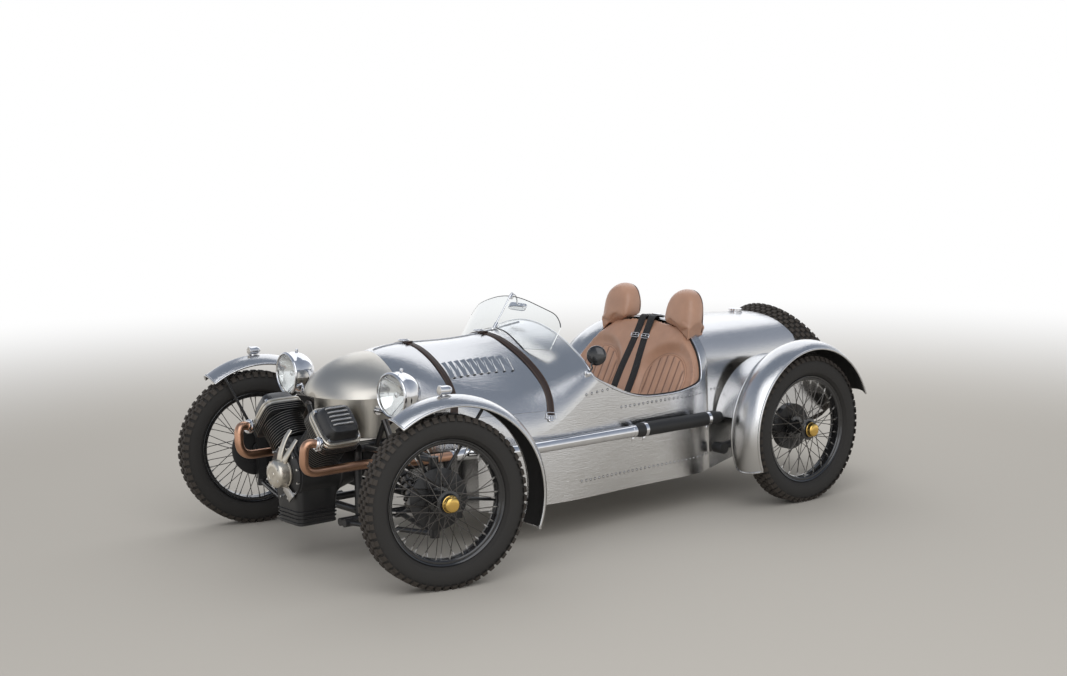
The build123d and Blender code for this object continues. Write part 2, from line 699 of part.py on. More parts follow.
def chassis_frame():
    """Tubular front frame, as separate tubes: rails, uprights and cross tubes."""
    tubes = []
    rear = TUB_FRONT - GAP
    for level, front in ((LOWER_RAIL, LOWER_RAIL_FRONT), (UPPER_RAIL, UPPER_RAIL_FRONT)):
        tubes.append(rod((front, -RAIL_SIDE, level), (rear, -RAIL_SIDE, level), TUBE_RADIUS))
    reach = TUBE_RADIUS + GAP
    for station in (UPPER_RAIL_FRONT + TUBE_RADIUS, rear - 40):
        low = (station, -RAIL_SIDE, LOWER_RAIL + reach)
        high = (station, -RAIL_SIDE, UPPER_RAIL - reach)
        tubes.append(rod(low, high, TUBE_RADIUS))
    frame = []
    for tube in tubes:
        frame += both_sides(tube)
    cross = RAIL_SIDE - reach
    for station in (LOWER_RAIL_FRONT + TUBE_RADIUS + 30 + 130, rear - 60):
        frame.append(rod((station, -cross, LOWER_RAIL), (station, cross, LOWER_RAIL), TUBE_RADIUS))
    return frame


def front_wishbones():
    """Upper and lower wishbones from the rails out to the kingpins."""
    bones = []
    bush = WISHBONE_RADIUS + 6
    side = -RAIL_SIDE - TUBE_RADIUS - bush - GAP
    for level, rail, roots in ((KINGPIN_TOP, UPPER_RAIL, UPPER_ROOTS), (KINGPIN_FOOT, LOWER_RAIL, LOWER_ROOTS)):
        tip = (0, -(FRONT_TRACK / 2 - KINGPIN_OFFSET), level)
        bone = Pos(*tip) * Cylinder(EYE_RADIUS, EYE_HEIGHT)
        for station in roots:
            root = (station, side, rail)
            bone += rod(root, tip, WISHBONE_RADIUS)
            bone += Pos(*root) * Rot(Y=90) * Cylinder(bush, 44)
        bones += both_sides(bone)
    return bones


def front_dampers():
    """Coil springs over dampers from the lower wishbones to the frame's towers."""
    low = (DAMPER_STATION, -520, KINGPIN_FOOT + 26)
    high = (DAMPER_STATION, -290, 610)
    damper = rod(low, high, 14)
    middle = (Vector(*high) - Vector(*low)).normalized()
    for number in range(8):
        start = Vector(*low) + middle * (90 + 34 * number)
        damper += extrude(Plane(origin=start, z_dir=middle) * Circle(34), 12)
    tower = (DAMPER_STATION, -RAIL_SIDE - TUBE_RADIUS - 10.5, UPPER_RAIL + 3)
    damper += rod((DAMPER_STATION, -290, 600), tower, 11)
    return both_sides(damper)


def rod_level():
    return ARM_LEVEL + ARM_THICKNESS / 2 + ROD_GAP + ROD_RADIUS + 4


def arm_end(side):
    """Where a steering arm's eye lies when the car is parked."""
    turn = radians(PARKED_STEER)
    kingpin = -side * (FRONT_TRACK / 2 - KINGPIN_OFFSET)
    return ARM_LENGTH * cos(turn), kingpin + ARM_LENGTH * sin(turn)


def rack_station():
    return arm_end(1)[0]


def steering_gear():
    """Rack housing across the frame."""
    housing = Pos(rack_station(), 0, rod_level()) * Rot(X=90) * Cylinder(RACK_RADIUS, RACK_LENGTH)
    return housing - Pos(rack_station(), 0, rod_level()) * Rot(X=90) * Cylinder(ROD_RADIUS + 1, RACK_LENGTH + 10)


def steering_rods():
    """Rack bar and track rods, ending over the eyes of the steering arms."""
    ends = [arm_end(side) for side in (1, -1)]
    bar = rod((ends[0][0], ends[0][1], rod_level()), (ends[1][0], ends[1][1], rod_level()), ROD_RADIUS)
    for end in ends:
        bar += Pos(end[0], end[1], rod_level()) * Cylinder(13, 2 * ROD_RADIUS + 8)
    return bar


def screen_arc(station, height):
    """Level line of the screen at a height, from its far side to its near side."""
    sag = SCREEN_RADIUS - sqrt(SCREEN_RADIUS**2 - SCREEN_HALF**2)
    rear = station + sag
    return ThreePointArc((rear, SCREEN_HALF, height), (station, 0, height), (rear, -SCREEN_HALF, height))


def windscreen():
    """Curved clear screen leaning back on the scuttle, its corners rounded off."""
    levels = []
    for height in (SCREEN_FOOT, SCREEN_TOP):
        station = SCREEN_STATION + (height - SCREEN_FOOT) * tan(radians(SCREEN_LEAN))
        front = screen_arc(station, height)
        back = screen_arc(station + SCREEN_WALL, height)
        levels.append(make_face([front, back, Line(front @ 0, back @ 0), Line(front @ 1, back @ 1)]))
    screen = loft(levels)
    peak = SCREEN_TOP + SCREEN_CREST * (1 / cos(radians(SCREEN_FALL)) - 1)
    shoulder = peak - SCREEN_HALF * tan(radians(SCREEN_FALL))
    corners = [(-SCREEN_HALF, 700), (-SCREEN_HALF, shoulder), (0, peak), (SCREEN_HALF, shoulder), (SCREEN_HALF, 700)]
    path = FilletPolyline(*[(0, y, z) for y, z in corners], radius=[SCREEN_CORNER, SCREEN_CREST, SCREEN_CORNER])
    outline = extrude(Face(Wire(list(path.edges()) + [Line(path @ 1, path @ 0)])), 3000, both=True, dir=(1, 0, 0))
    return (screen & outline) - front_body(-1.5)


def screen_point(height, ahead):
    """Point at a height of the screen's centre line, some way in front of its face."""
    lean = radians(SCREEN_LEAN)
    station = SCREEN_STATION + (height - SCREEN_FOOT) * tan(lean)
    return (station - ahead * cos(lean), 0, height + ahead * sin(lean))


def screen_fittings():
    """Centre stay in front of the screen, led over its top edge to the small mirror."""
    mirror_point = screen_point(SCREEN_TOP - 18, -55)
    over = SCREEN_TOP + 9
    points = [screen_point(SCREEN_STAY_FOOT, 6), screen_point(over, 6), screen_point(over, -45), mirror_point]
    stay = pipe(points, [8, 8], SCREEN_STAY)
    return stay + Pos(*mirror_point) * Box(12, 130, 34)


def side_mirror():
    """Round mirror on its stalk, clamped to the scuttle's edge."""
    head = Pos(1075, -438, 792) * Rot(Y=80) * Cylinder(45, 16)
    stalk = rod((1016, -470, 720), (1066, -440, 770), 5)
    clamp = Pos(1012, -474, 716) * Cylinder(15, 26)
    return head + stalk + clamp


def seat_face(height):
    """Station of the seat back's leaning front face at a height."""
    return SEAT_STATION - (SEAT_LEVEL - height) * tan(radians(SEAT_LEAN))


def seat_back():
    """Leather back whose face fills the rear arch of the cockpit, with two oval hollows."""
    low, high, rear = CUSHION_TOP + 2, SEAT_LEVEL + 10, COCKPIT_END - WALL
    corners = [(seat_face(low), low), (rear, low), (rear, high), (seat_face(high), high)]
    wedge = make_face(Polyline(*[(x, 0, z) for x, z in corners], close=True))
    back = front_body(WALL + GAP) & extrude(wedge, 600, both=True, dir=(0, 1, 0))
    lean = radians(SEAT_LEAN)
    for side in (-1, 1):
        centre = (seat_face(610), side * SEAT_SIDE, 610)
        face = Plane(origin=centre, x_dir=(0, 1, 0), z_dir=(cos(lean), 0, -sin(lean)))
        back -= extrude(face * Ellipse(160, 170), SEAT_HOLLOW, both=True)
    return back


def seat_cushion():
    """Two seat cushions side by side on the floor."""
    rear = seat_face(CUSHION_TOP) - 4
    cushion = block((rear - CUSHION_LENGTH, rear), (20, 400), (230, CUSHION_TOP))
    cushion = fillet(cushion.edges().filter_by(Axis.Y), 30)
    return both_sides(cushion)


def headrests():
    """Two headrests with domed tops that lean back, standing on the body behind the cockpit."""
    foot = HEAD_TOP - 240
    half = HEAD_WIDTH / 2
    front_view = make_face([
        Polyline((-half, HEAD_TOP - half), (-half, foot), (half, foot), (half, HEAD_TOP - half)),
        ThreePointArc((half, HEAD_TOP - half), (0, HEAD_TOP), (-half, HEAD_TOP - half)),
    ])
    side_view = FilletPolyline(
        (-HEAD_DEPTH / 2, 0, 0), (-HEAD_DEPTH / 2 + 60, 0, 244), (HEAD_DEPTH / 2 + 40, 0, 244), (HEAD_DEPTH / 2 + 20, 0, 0),
        radius=[70, 40],
    )
    side_face = make_face(list(side_view.edges()) + [Line(side_view @ 1, side_view @ 0)])
    across = extrude(Plane.YZ * front_view, 200, both=True)
    along = Pos(0, 0, foot) * extrude(side_face, 200, both=True, dir=(0, 1, 0))
    rest = Pos(HEAD_STATION, -HEAD_SIDE, 0) * (across & along)
    return [piece - front_body(-1.5) - tail_body(-1.5) for piece in both_sides(rest)]


def seat_belts():
    """Pair of flat belts laid down the middle of the seat back."""
    lean = radians(SEAT_LEAN)
    belts = []
    for side in (-1, 1):
        strap = Box(BELT_THICKNESS, BELT_WIDTH, BELT_LENGTH)
        offset = BELT_THICKNESS / 2 + 1
        centre_x = seat_face(BELT_LEVEL) - offset / cos(lean)
        belts.append(Pos(centre_x, side * 34, BELT_LEVEL) * Rot(Y=SEAT_LEAN) * strap)
    return belts


def bonnet_straps():
    """Two leather straps round the bonnet, leaning back along its flanks."""
    straps = []
    band = front_body(-2 * GAP - STRAP_THICKNESS) - front_body(-2 * GAP)
    band = band & block((0, 1200), (-600, 600), (STRAP_FOOT, 1200))
    for strap in (FRONT_STRAP, REAR_STRAP):
        slab = strap_slab(strap, STRAP_WIDTH / 2, STRAP_WIDTH / 2)
        straps.append(band & (slab + mirror(slab, about=Plane.XZ)))
    return straps


def dashboard():
    """Panel under the scuttle's rear edge."""
    panel = front_body(WALL + GAP) & block((985, 1000), (-600, 600), (620, 1000))
    return panel - rod(column_point(COLUMN_FOOT), column_point(COLUMN_END), COLUMN_RADIUS + 1)


def column_point(station):
    """Point on the steering column's axis at a station."""
    return (station, DRIVER_SIDE, COLUMN_HEIGHT - (COLUMN_END - station) * COLUMN_SLOPE)


def steering_column():
    return rod(column_point(COLUMN_FOOT), column_point(COLUMN_END), COLUMN_RADIUS)


def steering_wheel():
    """Rim, three spokes and hub, square to the column."""
    high = Vector(*column_point(COLUMN_END))
    way = (high - Vector(*column_point(COLUMN_FOOT))).normalized()
    plane = Plane(origin=high + way * GAP, z_dir=way)
    wheel = extrude(plane * Circle(28), 30)
    ring = Plane(origin=high + way * 20, z_dir=way).location * Torus(150, 12)
    wheel += ring
    for turn in (90, 210, 330):
        spoke = Pos(75 * cos(radians(turn)), 75 * sin(radians(turn)), 0) * Rot(Z=turn) * Box(140, 26, 5)
        wheel += Plane(origin=high + way * 20, z_dir=way).location * spoke
    return wheel


def rear_axle():
    """Live axle: tube, differential housing and the stub ends."""
    half = REAR_TRACK / 2 - HUB_HALF - 10
    axle = Pos(REAR_AXLE, 0, WHEEL_RADIUS) * Rot(X=90) * Cylinder(AXLE_RADIUS, 2 * half)
    axle += Pos(REAR_AXLE, 0, WHEEL_RADIUS) * Sphere(105)
    stub = REAR_TRACK / 2 + STUB_REACH
    axle += Pos(REAR_AXLE, 0, WHEEL_RADIUS) * Rot(X=90) * Cylinder(STUB_RADIUS, 2 * stub)
    for side in (-1, 1):
        axle += Pos(REAR_AXLE, side * (half - 20), WHEEL_RADIUS) * Rot(X=90) * Cylinder(110, 34)
    return axle


def rear_arms():
    """Trailing arms from the body sides to the axle, with their dampers."""
    arm = rod((1850, -440, 270), (REAR_AXLE - 30, -470, WHEEL_RADIUS - 22), 18)
    arm += Pos(1850, -440, 270) * Rot(X=90) * Cylinder(26, 60)
    damper = rod((REAR_AXLE, -440, WHEEL_RADIUS + 34), (REAR_AXLE - 60, -425, 600), 24)
    return both_sides(arm) + both_sides(damper)


def fuel_cap():
    """Round filler cap on top of the tail."""
    cap = Pos(2404, 0, 838) * Cylinder(34, 30)
    return cap - tail_body(-1)


def tail_lamps():
    """Small round lamps on the ends of the rear wings."""
    angle = radians(REAR_WING_END + 14)
    reach = WING_RADIUS + 12
    lamp = Pos(REAR_AXLE + reach * cos(angle), -REAR_TRACK / 2, WHEEL_RADIUS + reach * sin(angle))
    return both_sides(lamp * Rot(Y=90 - degrees(angle)) * Cylinder(26, 22))


def spare_place():
    return Pos(SPARE_STATION, 0, SPARE_HEIGHT) * Rot(Y=SPARE_TILT) * Rot(X=-90)


def whole_car():
    shell = body_shell()
    rubber = tyre()
    plain_wheel = wire_wheel(False)
    car = {
        "chassis_frame": chassis_frame(),
        "body_tub": body_tub(shell),
        "nose_cowl": nose_cowl(),
        "bonnet": bonnet(shell),
        "tail_shell": tail_shell(),
        "seat_back": seat_back(),
        "seat_cushion": seat_cushion(),
        "headrests": headrests(),
        "seat_belts": seat_belts(),
        "windscreen": windscreen(),
        "screen_fittings": screen_fittings(),
        "side_mirror": side_mirror(),
        "dashboard": dashboard(),
        "steering_column": steering_column(),
        "steering_wheel": steering_wheel(),
        "steering_gear": steering_gear(),
        "steering_rods": steering_rods(),
        "engine_case": engine_case(),
        "cylinders": cylinders(),
        "rocker_covers": rocker_covers(),
        "front_cover": front_cover(),
        "exhaust_headers": exhaust_headers(),
        "side_pipes": side_pipes(),
        "silencers": silencers(),
        "headlamp_shells": headlamp_shells(),
        "headlamp_lenses": headlamp_lenses(),
        "front_wishbones": front_wishbones(),
        "front_dampers": front_dampers(),
        "rear_axle": rear_axle(),
        "rear_arms": rear_arms(),
        "rear_wings": rear_wings(),
        "fuel_cap": fuel_cap(),
        "bonnet_straps": bonnet_straps(),
        "tail_lamps": tail_lamps(),
        "spare_tyre": spare_place() * rubber,
        "spare_wheel": spare_place() * plain_wheel,
    }
    for name, side in (("left", 1), ("right", -1)):
        car.update(front_corner(name, side, rubber))
        car.update(rear_corner(name, side, rubber, plain_wheel))
    return car


os.makedirs("parts", exist_ok=True)
to_middle = Pos(-MIDDLE_STATION, 0, 0)
for node, shape in whole_car().items():
    pieces = shape if isinstance(shape, list) else [shape]
    solids = [to_middle * solid for piece in pieces for solid in piece.solids()]
    export_step(Compound(children=solids), f"parts/{node}.step")
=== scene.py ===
import bmesh
import bpy
import json
import math
import numpy as np
from mathutils import Matrix, Vector
from mathutils.bvhtree import BVHTree


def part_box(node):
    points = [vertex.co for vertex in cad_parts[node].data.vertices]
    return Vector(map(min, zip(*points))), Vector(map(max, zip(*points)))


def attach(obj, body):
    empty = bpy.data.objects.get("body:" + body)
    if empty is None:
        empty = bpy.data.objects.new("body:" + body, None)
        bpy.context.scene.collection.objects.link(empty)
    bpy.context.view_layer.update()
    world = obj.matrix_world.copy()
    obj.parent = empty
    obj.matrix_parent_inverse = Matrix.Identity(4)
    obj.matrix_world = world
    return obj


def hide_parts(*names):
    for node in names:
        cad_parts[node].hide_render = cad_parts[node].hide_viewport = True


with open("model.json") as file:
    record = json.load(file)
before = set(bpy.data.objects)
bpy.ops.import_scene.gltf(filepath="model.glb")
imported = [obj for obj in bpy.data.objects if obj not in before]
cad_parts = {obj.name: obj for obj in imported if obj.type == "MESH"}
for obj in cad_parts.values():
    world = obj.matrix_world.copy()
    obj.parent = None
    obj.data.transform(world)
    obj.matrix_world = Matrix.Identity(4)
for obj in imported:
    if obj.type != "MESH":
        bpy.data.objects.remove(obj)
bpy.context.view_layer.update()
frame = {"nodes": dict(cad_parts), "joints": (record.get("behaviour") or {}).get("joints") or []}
nodes = frame["nodes"]
joints = {joint["name"]: joint for joint in frame["joints"]}
front_axle_x = joints["steer_left"]["pos_m"][0]


# The photograph's view: the car seen from ahead of its near front corner, a little above
# the scuttle, with a lens of about 60 mm. Stations are measured back from the front axle.
def placed(name, data):
    """An object that holds a mesh, a lamp or a camera, linked to the scene."""
    item = bpy.data.objects.new(name, data)
    bpy.context.scene.collection.objects.link(item)
    return item


lens_length, film_width = 59.82, 36
camera_place = (front_axle_x - 4.0978, -6.2715, 1.9182)
camera_yaw, camera_pitch, camera_roll = 0.6893, -0.1336, -0.0110
forward = Vector((math.sin(camera_yaw) * math.cos(camera_pitch), math.cos(camera_yaw) * math.cos(camera_pitch),
                  math.sin(camera_pitch)))
level_right = Vector((math.cos(camera_yaw), -math.sin(camera_yaw), 0))
level_up = level_right.cross(forward)
camera_right = math.cos(camera_roll) * level_right + math.sin(camera_roll) * level_up
camera_up = -math.sin(camera_roll) * level_right + math.cos(camera_roll) * level_up
camera = placed("camera", bpy.data.cameras.new("camera"))
camera.data.lens = lens_length
camera.data.sensor_width = film_width
camera.matrix_world = Matrix((
    (camera_right.x, camera_up.x, -forward.x, camera_place[0]),
    (camera_right.y, camera_up.y, -forward.y, camera_place[1]),
    (camera_right.z, camera_up.z, -forward.z, camera_place[2]),
    (0, 0, 0, 1),
))
bpy.context.scene.camera = camera
bpy.context.scene.view_settings.view_transform = "Standard"


# A pale studio: a wide floor that fades into white, a surround that is white to the camera
# and through glass but a darkening sky to the metal, and two large soft lamps.
class Value:
    """One value in a material. Sums, differences, products and ratios add Math nodes."""

    def __init__(self, tree, socket):
        self.tree = tree
        self.socket = socket

    def math(self, operation, first, second=None):
        node = self.tree.nodes.new("ShaderNodeMath")
        node.operation = operation
        for slot, value in enumerate((first, second)):
            if isinstance(value, Value):
                self.tree.links.new(value.socket, node.inputs[slot])
            elif value is not None:
                node.inputs[slot].default_value = value
        return Value(self.tree, node.outputs[0])

    def __add__(self, other):
        return self.math("ADD", self, other)

    def __radd__(self, other):
        return self.math("ADD", other, self)

    def __sub__(self, other):
        return self.math("SUBTRACT", self, other)

    def __rsub__(self, other):
        return self.math("SUBTRACT", other, self)

    def __mul__(self, other):
        return self.math("MULTIPLY", self, other)

    def __rmul__(self, other):
        return self.math("MULTIPLY", other, self)

    def __truediv__(self, other):
        return self.math("DIVIDE", self, other)

    def clamped(self):
        return self.math("MINIMUM", self.math("MAXIMUM", self, 0.0), 1.0)


def add_node(tree, kind, settings, inputs, output=0):
    """Adds one node: its settings come first, then the values or links of its sockets."""
    node = tree.nodes.new(kind)
    for name, setting in settings.items():
        if name == "stops":
            ramp = node.color_ramp
            while len(ramp.elements) < len(setting):
                ramp.elements.new(1.0)
            for element, (place, colour) in zip(ramp.elements, setting):
                element.position = place
                element.color = (*colour, 1.0)
        else:
            setattr(node, name, setting)
    for name, value in inputs.items():
        if isinstance(value, Value):
            tree.links.new(value.socket, node.inputs[name])
        elif isinstance(value, tuple) and len(value) == 3 and len(node.inputs[name].default_value) == 4:
            node.inputs[name].default_value = (*value, 1.0)
        else:
            node.inputs[name].default_value = value
    return Value(tree, node.outputs[output])


def ray_is(tree, kind):
    """1 on rays of one kind: Camera, Glossy or Transmission."""
    return add_node(tree, "ShaderNodeLightPath", {}, {}, f"Is {kind} Ray")


white = (1.0, 1.0, 1.0)
studio_light = 0.55
world = bpy.data.worlds.new("studio")
bpy.context.scene.world = world
world.use_nodes = True
sky = world.node_tree
sky.nodes.clear()
direction = add_node(sky, "ShaderNodeTexCoord", {}, {}, "Generated")
height = add_node(sky, "ShaderNodeSeparateXYZ", {}, {"Vector": direction}, "Z")
dome_stops = [(0.0, (0.70, 0.68, 0.64)), (0.5, white), (0.535, white), (0.59, (0.74, 0.77, 0.82)),
              (0.70, (0.42, 0.46, 0.54)), (0.85, (0.28, 0.32, 0.40)), (1.0, (0.24, 0.28, 0.35))]
dome_colour = add_node(sky, "ShaderNodeValToRGB", {"stops": dome_stops}, {"Fac": height * 0.5 + 0.5})
lighting = add_node(sky, "ShaderNodeBackground", {}, {"Color": white, "Strength": studio_light})
dome = add_node(sky, "ShaderNodeBackground", {}, {"Color": dome_colour, "Strength": 1.0})
backdrop = add_node(sky, "ShaderNodeBackground", {}, {"Color": white, "Strength": 1.0})
lit = add_node(sky, "ShaderNodeMixShader", {}, {0: ray_is(sky, "Glossy"), 1: lighting, 2: dome})
seen = (ray_is(sky, "Camera") + ray_is(sky, "Transmission")).clamped()
studio = add_node(sky, "ShaderNodeMixShader", {}, {0: seen, 1: lit, 2: backdrop})
sky.links.new(studio.socket, sky.nodes.new("ShaderNodeOutputWorld").inputs["Surface"])

for lamp_name, place, aim, wide, power in (
    ("key_lamp", (-3.6, -5.2, 5.2), (0.0, 0.0, 0.5), 7.5, 250.0),
    ("fill_lamp", (3.8, 3.6, 4.8), (0.2, 0.0, 0.5), 7.0, 150.0),
):
    lamp = placed(lamp_name, bpy.data.lights.new(lamp_name, "AREA"))
    lamp.location = place
    lamp.rotation_mode = "QUATERNION"
    lamp.rotation_quaternion = (Vector(place) - Vector(aim)).to_track_quat("Z", "Y")
    lamp.data.size = wide
    lamp.data.energy = power

floor_reach, clear_floor, fade_length = 60, 3.0, 6.0
floor_mesh = bpy.data.meshes.new("floor")
floor_corners = [(floor_reach * x, floor_reach * y, 0) for x, y in ((-1, -1), (1, -1), (1, 1), (-1, 1))]
floor_mesh.from_pydata(floor_corners, [], [(0, 1, 2, 3)])
floor = placed("floor", floor_mesh)
floor_finish = bpy.data.materials.new("studio_floor")
floor_finish.use_nodes = True
floor_tree = floor_finish.node_tree
floor_shader = floor_tree.nodes["Principled BSDF"]
floor_shader.inputs["Base Color"].default_value = (0.54, 0.515, 0.475, 1)
floor_shader.inputs["Roughness"].default_value = 0.85
floor_shader.inputs["Specular IOR Level"].default_value = 0.1
floor_place = add_node(floor_tree, "ShaderNodeTexCoord", {}, {}, "Object")
floor_distance = add_node(floor_tree, "ShaderNodeVectorMath", {"operation": "LENGTH"}, {0: floor_place}, 1)
fade = ((floor_distance - clear_floor) / fade_length).clamped()
floor_seen = (ray_is(floor_tree, "Camera") + ray_is(floor_tree, "Glossy")).clamped()
fade = fade * fade * (3.0 - 2.0 * fade) * floor_seen
haze = add_node(floor_tree, "ShaderNodeEmission", {}, {"Color": white, "Strength": 1.0})
floor_top = Value(floor_tree, floor_shader.outputs[0])
floor_top = add_node(floor_tree, "ShaderNodeMixShader", {}, {0: fade, 1: floor_top, 2: haze})
floor_tree.links.new(floor_top.socket, floor_tree.nodes["Material Output"].inputs["Surface"])
floor.data.materials.append(floor_finish)


# Body panels: sheet aluminium rolled and hammered over a frame, polished to a soft mirror.
# The finish has long faint waves from the hammer and fine lines from the polishing mop.
def new_finish(name, metallic, roughness, coat, colour):
    """A material with one Principled shader, whose constants stand on the shader's own sockets."""
    finish = bpy.data.materials.new(name)
    finish.use_nodes = True
    finish.diffuse_color = (*colour, 1.0)
    shader = finish.node_tree.nodes["Principled BSDF"]
    shader.inputs["Base Color"].default_value = (*colour, 1.0)
    shader.inputs["Metallic"].default_value = metallic
    shader.inputs["Roughness"].default_value = roughness
    shader.inputs["Coat Weight"].default_value = coat
    shader.inputs["Coat Roughness"].default_value = 0.08
    return finish


def shader_gets(finish, **values):
    """Links worked-out values to the shader's sockets: base, roughness or normal."""
    names = {"base": "Base Color", "roughness": "Roughness", "normal": "Normal"}
    tree = finish.node_tree
    for key, value in values.items():
        tree.links.new(value.socket, tree.nodes["Principled BSDF"].inputs[names[key]])


def noise(tree, scale, detail=4.0, rough=0.55, stretch=(1, 1, 1)):
    """Cloudy noise on object coordinates, stretched by a mapping."""
    place = add_node(tree, "ShaderNodeTexCoord", {}, {}, "Object")
    place = add_node(tree, "ShaderNodeMapping", {}, {"Vector": place, "Scale": stretch})
    inputs = {"Vector": place, "Scale": scale, "Detail": detail, "Roughness": rough}
    return add_node(tree, "ShaderNodeTexNoise", {}, inputs, "Fac")


def blend_colours(tree, low, high, share):
    """Mixes two colours by a share from 0 to 1."""
    return add_node(tree, "ShaderNodeMix", {"data_type": "RGBA"}, {0: share, 6: low, 7: high}, 2)


def bumped(tree, height, strength, distance):
    """Normal tilted by the slope of a height."""
    return add_node(tree, "ShaderNodeBump", {}, {"Height": height, "Strength": strength, "Distance": distance})


def toned(colour, share):
    """A colour made darker."""
    return tuple(share * part for part in colour)


def metal_sheet(name, colour, roughness, lines, waves):
    """Bare sheet: cloudy tone, fine parallel lines, and long hammered waves in the surface."""
    finish = new_finish(name, 1.0, roughness, 0.0, colour)
    tree = finish.node_tree
    cloud = noise(tree, 3.0)
    scratch = noise(tree, 1.0, 3.0, 0.7, lines)
    smear = noise(tree, 14.0, 3.0)
    tone = (cloud * 0.9 + scratch * 0.5 - 0.15).clamped()
    shader_gets(
        finish,
        base=blend_colours(tree, toned(colour, 0.86), colour, tone),
        roughness=roughness - 0.05 + scratch * 0.10 + smear * 0.05,
        normal=bumped(tree, waves * noise(tree, 4.0, 1.0) + scratch * 0.0006, 1.0, 1.0),
    )
    return finish


def finished(finish, *names):
    """Gives a finish to CAD nodes that keep their own shape."""
    for name in names:
        nodes[name].data.materials.clear()
        nodes[name].data.materials.append(finish)


polished = metal_sheet("polished_sheet", (0.68, 0.675, 0.67), 0.15, (6, 260, 260), 0.0024)
brushed = metal_sheet("brushed_sheet", (0.62, 0.585, 0.52), 0.28, (420, 420, 8), 0.003)
finished(polished, "body_tub", "bonnet", "tail_shell", "rear_wings", "wing_front_left", "wing_front_right")
finished(brushed, "nose_cowl", "dashboard")


# Welded and turned parts that keep their solids: the tubular frame, the wishbones, the rear
# axle with its arms and the steering in satin black paint, and the plated long side pipes.
def plain_metal(name, colour, roughness, speckle=0.02, metallic=1.0, coat=0.0):
    """Metal or paint with small changes of tone and gloss over the surface."""
    finish = new_finish(name, metallic, roughness, coat, colour)
    tree = finish.node_tree
    cloud = noise(tree, 22.0, 5.0)
    fine = noise(tree, 400.0, 2.0)
    shader_gets(
        finish,
        base=blend_colours(tree, toned(colour, 0.75), colour, cloud),
        roughness=roughness - 0.06 + cloud * 0.12,
        normal=bumped(tree, fine, speckle, 0.001),
    )
    return finish


satin_black = plain_metal("satin_black", (0.022, 0.022, 0.023), 0.38, 0.05, 0.0, 0.3)
chrome = plain_metal("chrome", (0.86, 0.86, 0.87), 0.07, 0.01)
finished(satin_black, "chassis_frame", "front_wishbones", "rear_axle", "rear_arms", "knuckle_left", "knuckle_right",
         "steering_gear", "steering_rods", "steering_column")
finished(chrome, "side_pipes")


# Tyres: black rubber with smooth round sidewalls and a block tread, pressed in two halves.
# Four rows of blocks run round the tread, and lugs reach down the shoulders.
def quads(rows, columns, rows_closed=False, columns_closed=False):
    """Corner numbers of the faces between the points of a grid."""
    row, column = np.meshgrid(np.arange(rows - (not rows_closed)), np.arange(columns - (not columns_closed)),
                              indexing="ij")
    below, beside = (row + 1) % rows, (column + 1) % columns
    corners = (row * columns + column, row * columns + beside, below * columns + beside, below * columns + column)
    return np.stack([corner.ravel() for corner in corners], 1)


def full_turn(steps):
    """Angles of a whole turn in even steps."""
    return np.linspace(0, 2 * np.pi, steps, endpoint=False)


def turned(profile, steps):
    """(height, radius) pairs turned about Z: x = radius cos a, y = radius sin a, z = height."""
    height, radius = np.array(profile, float).T
    wide, deep = radius[:, None] * np.cos(full_turn(steps)), radius[:, None] * np.sin(full_turn(steps))
    points = np.stack(np.broadcast_arrays(wide, deep, height[:, None]), -1)
    return points.reshape(-1, 3), quads(len(height), steps, False, True)


def moved(shape, turn=None, place=(0, 0, 0)):
    """A shape turned by a matrix whose columns are its new axes, then moved to a place."""
    points, faces = shape
    turn = np.eye(3) if turn is None else np.array(turn, float)
    return points @ turn.T + np.array(place, float), faces


def repeated(shape, turns, places):
    """Copies of a shape: point i of copy k is turn k times the point, plus place k."""
    points, faces = shape
    copies = np.einsum("kij,nj->kni", turns, points) + np.asarray(places)[:, None, :]
    offsets = np.arange(len(places)) * len(points)
    return copies.reshape(-1, 3), (offsets[:, None, None] + faces).reshape(-1, 4)


def joined(*shapes):
    """Several shapes as one."""
    offsets = np.cumsum([0] + [len(points) for points, faces in shapes[:-1]])
    faces = np.concatenate([faces + start for (points, faces), start in zip(shapes, offsets)])
    return np.concatenate([points for points, faces in shapes]), faces


def turns_about_z(angles):
    """Matrices that turn about Z."""
    cos, sin, zero, one = np.cos(angles), np.sin(angles), np.zeros_like(angles), np.ones_like(angles)
    return np.stack([np.stack(row, -1) for row in ((cos, -sin, zero), (sin, cos, zero), (zero, zero, one))], 1)


def facing(way, second=(0, 1, 0)):
    """Axes, as columns, of a shape whose Z looks along a way, with a second axis square to it."""
    return np.stack([np.cross(second, way), second, way], -1)


def make_piece(name, parts, body, stands_for=(), smooth=40.0):
    """One piece from pairs of a shape and its finish. Doubles merge, faces turn outward, and
    edges past an angle are sharp."""
    mesh = bpy.data.meshes.new(name)
    points, faces = joined(*[shape for shape, finish in parts])
    finishes = list(dict.fromkeys(finish for shape, finish in parts))
    mesh.from_pydata(points.tolist(), [], faces.tolist())
    for finish in finishes:
        mesh.materials.append(finish)
    numbers = np.concatenate([np.full(len(shape[1]), finishes.index(finish), np.int32) for shape, finish in parts])
    mesh.polygons.foreach_set("material_index", numbers)
    cleaned = bmesh.new()
    cleaned.from_mesh(mesh)
    bmesh.ops.remove_doubles(cleaned, verts=cleaned.verts, dist=1e-5)
    bmesh.ops.recalc_face_normals(cleaned, faces=cleaned.faces)
    cleaned.to_mesh(mesh)
    cleaned.free()
    mesh.shade_smooth()
    mesh.set_sharp_from_angle(angle=math.radians(smooth))
    piece = placed(name, mesh)
    if stands_for:
        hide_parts(*stands_for)
    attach(piece, body)
    return piece


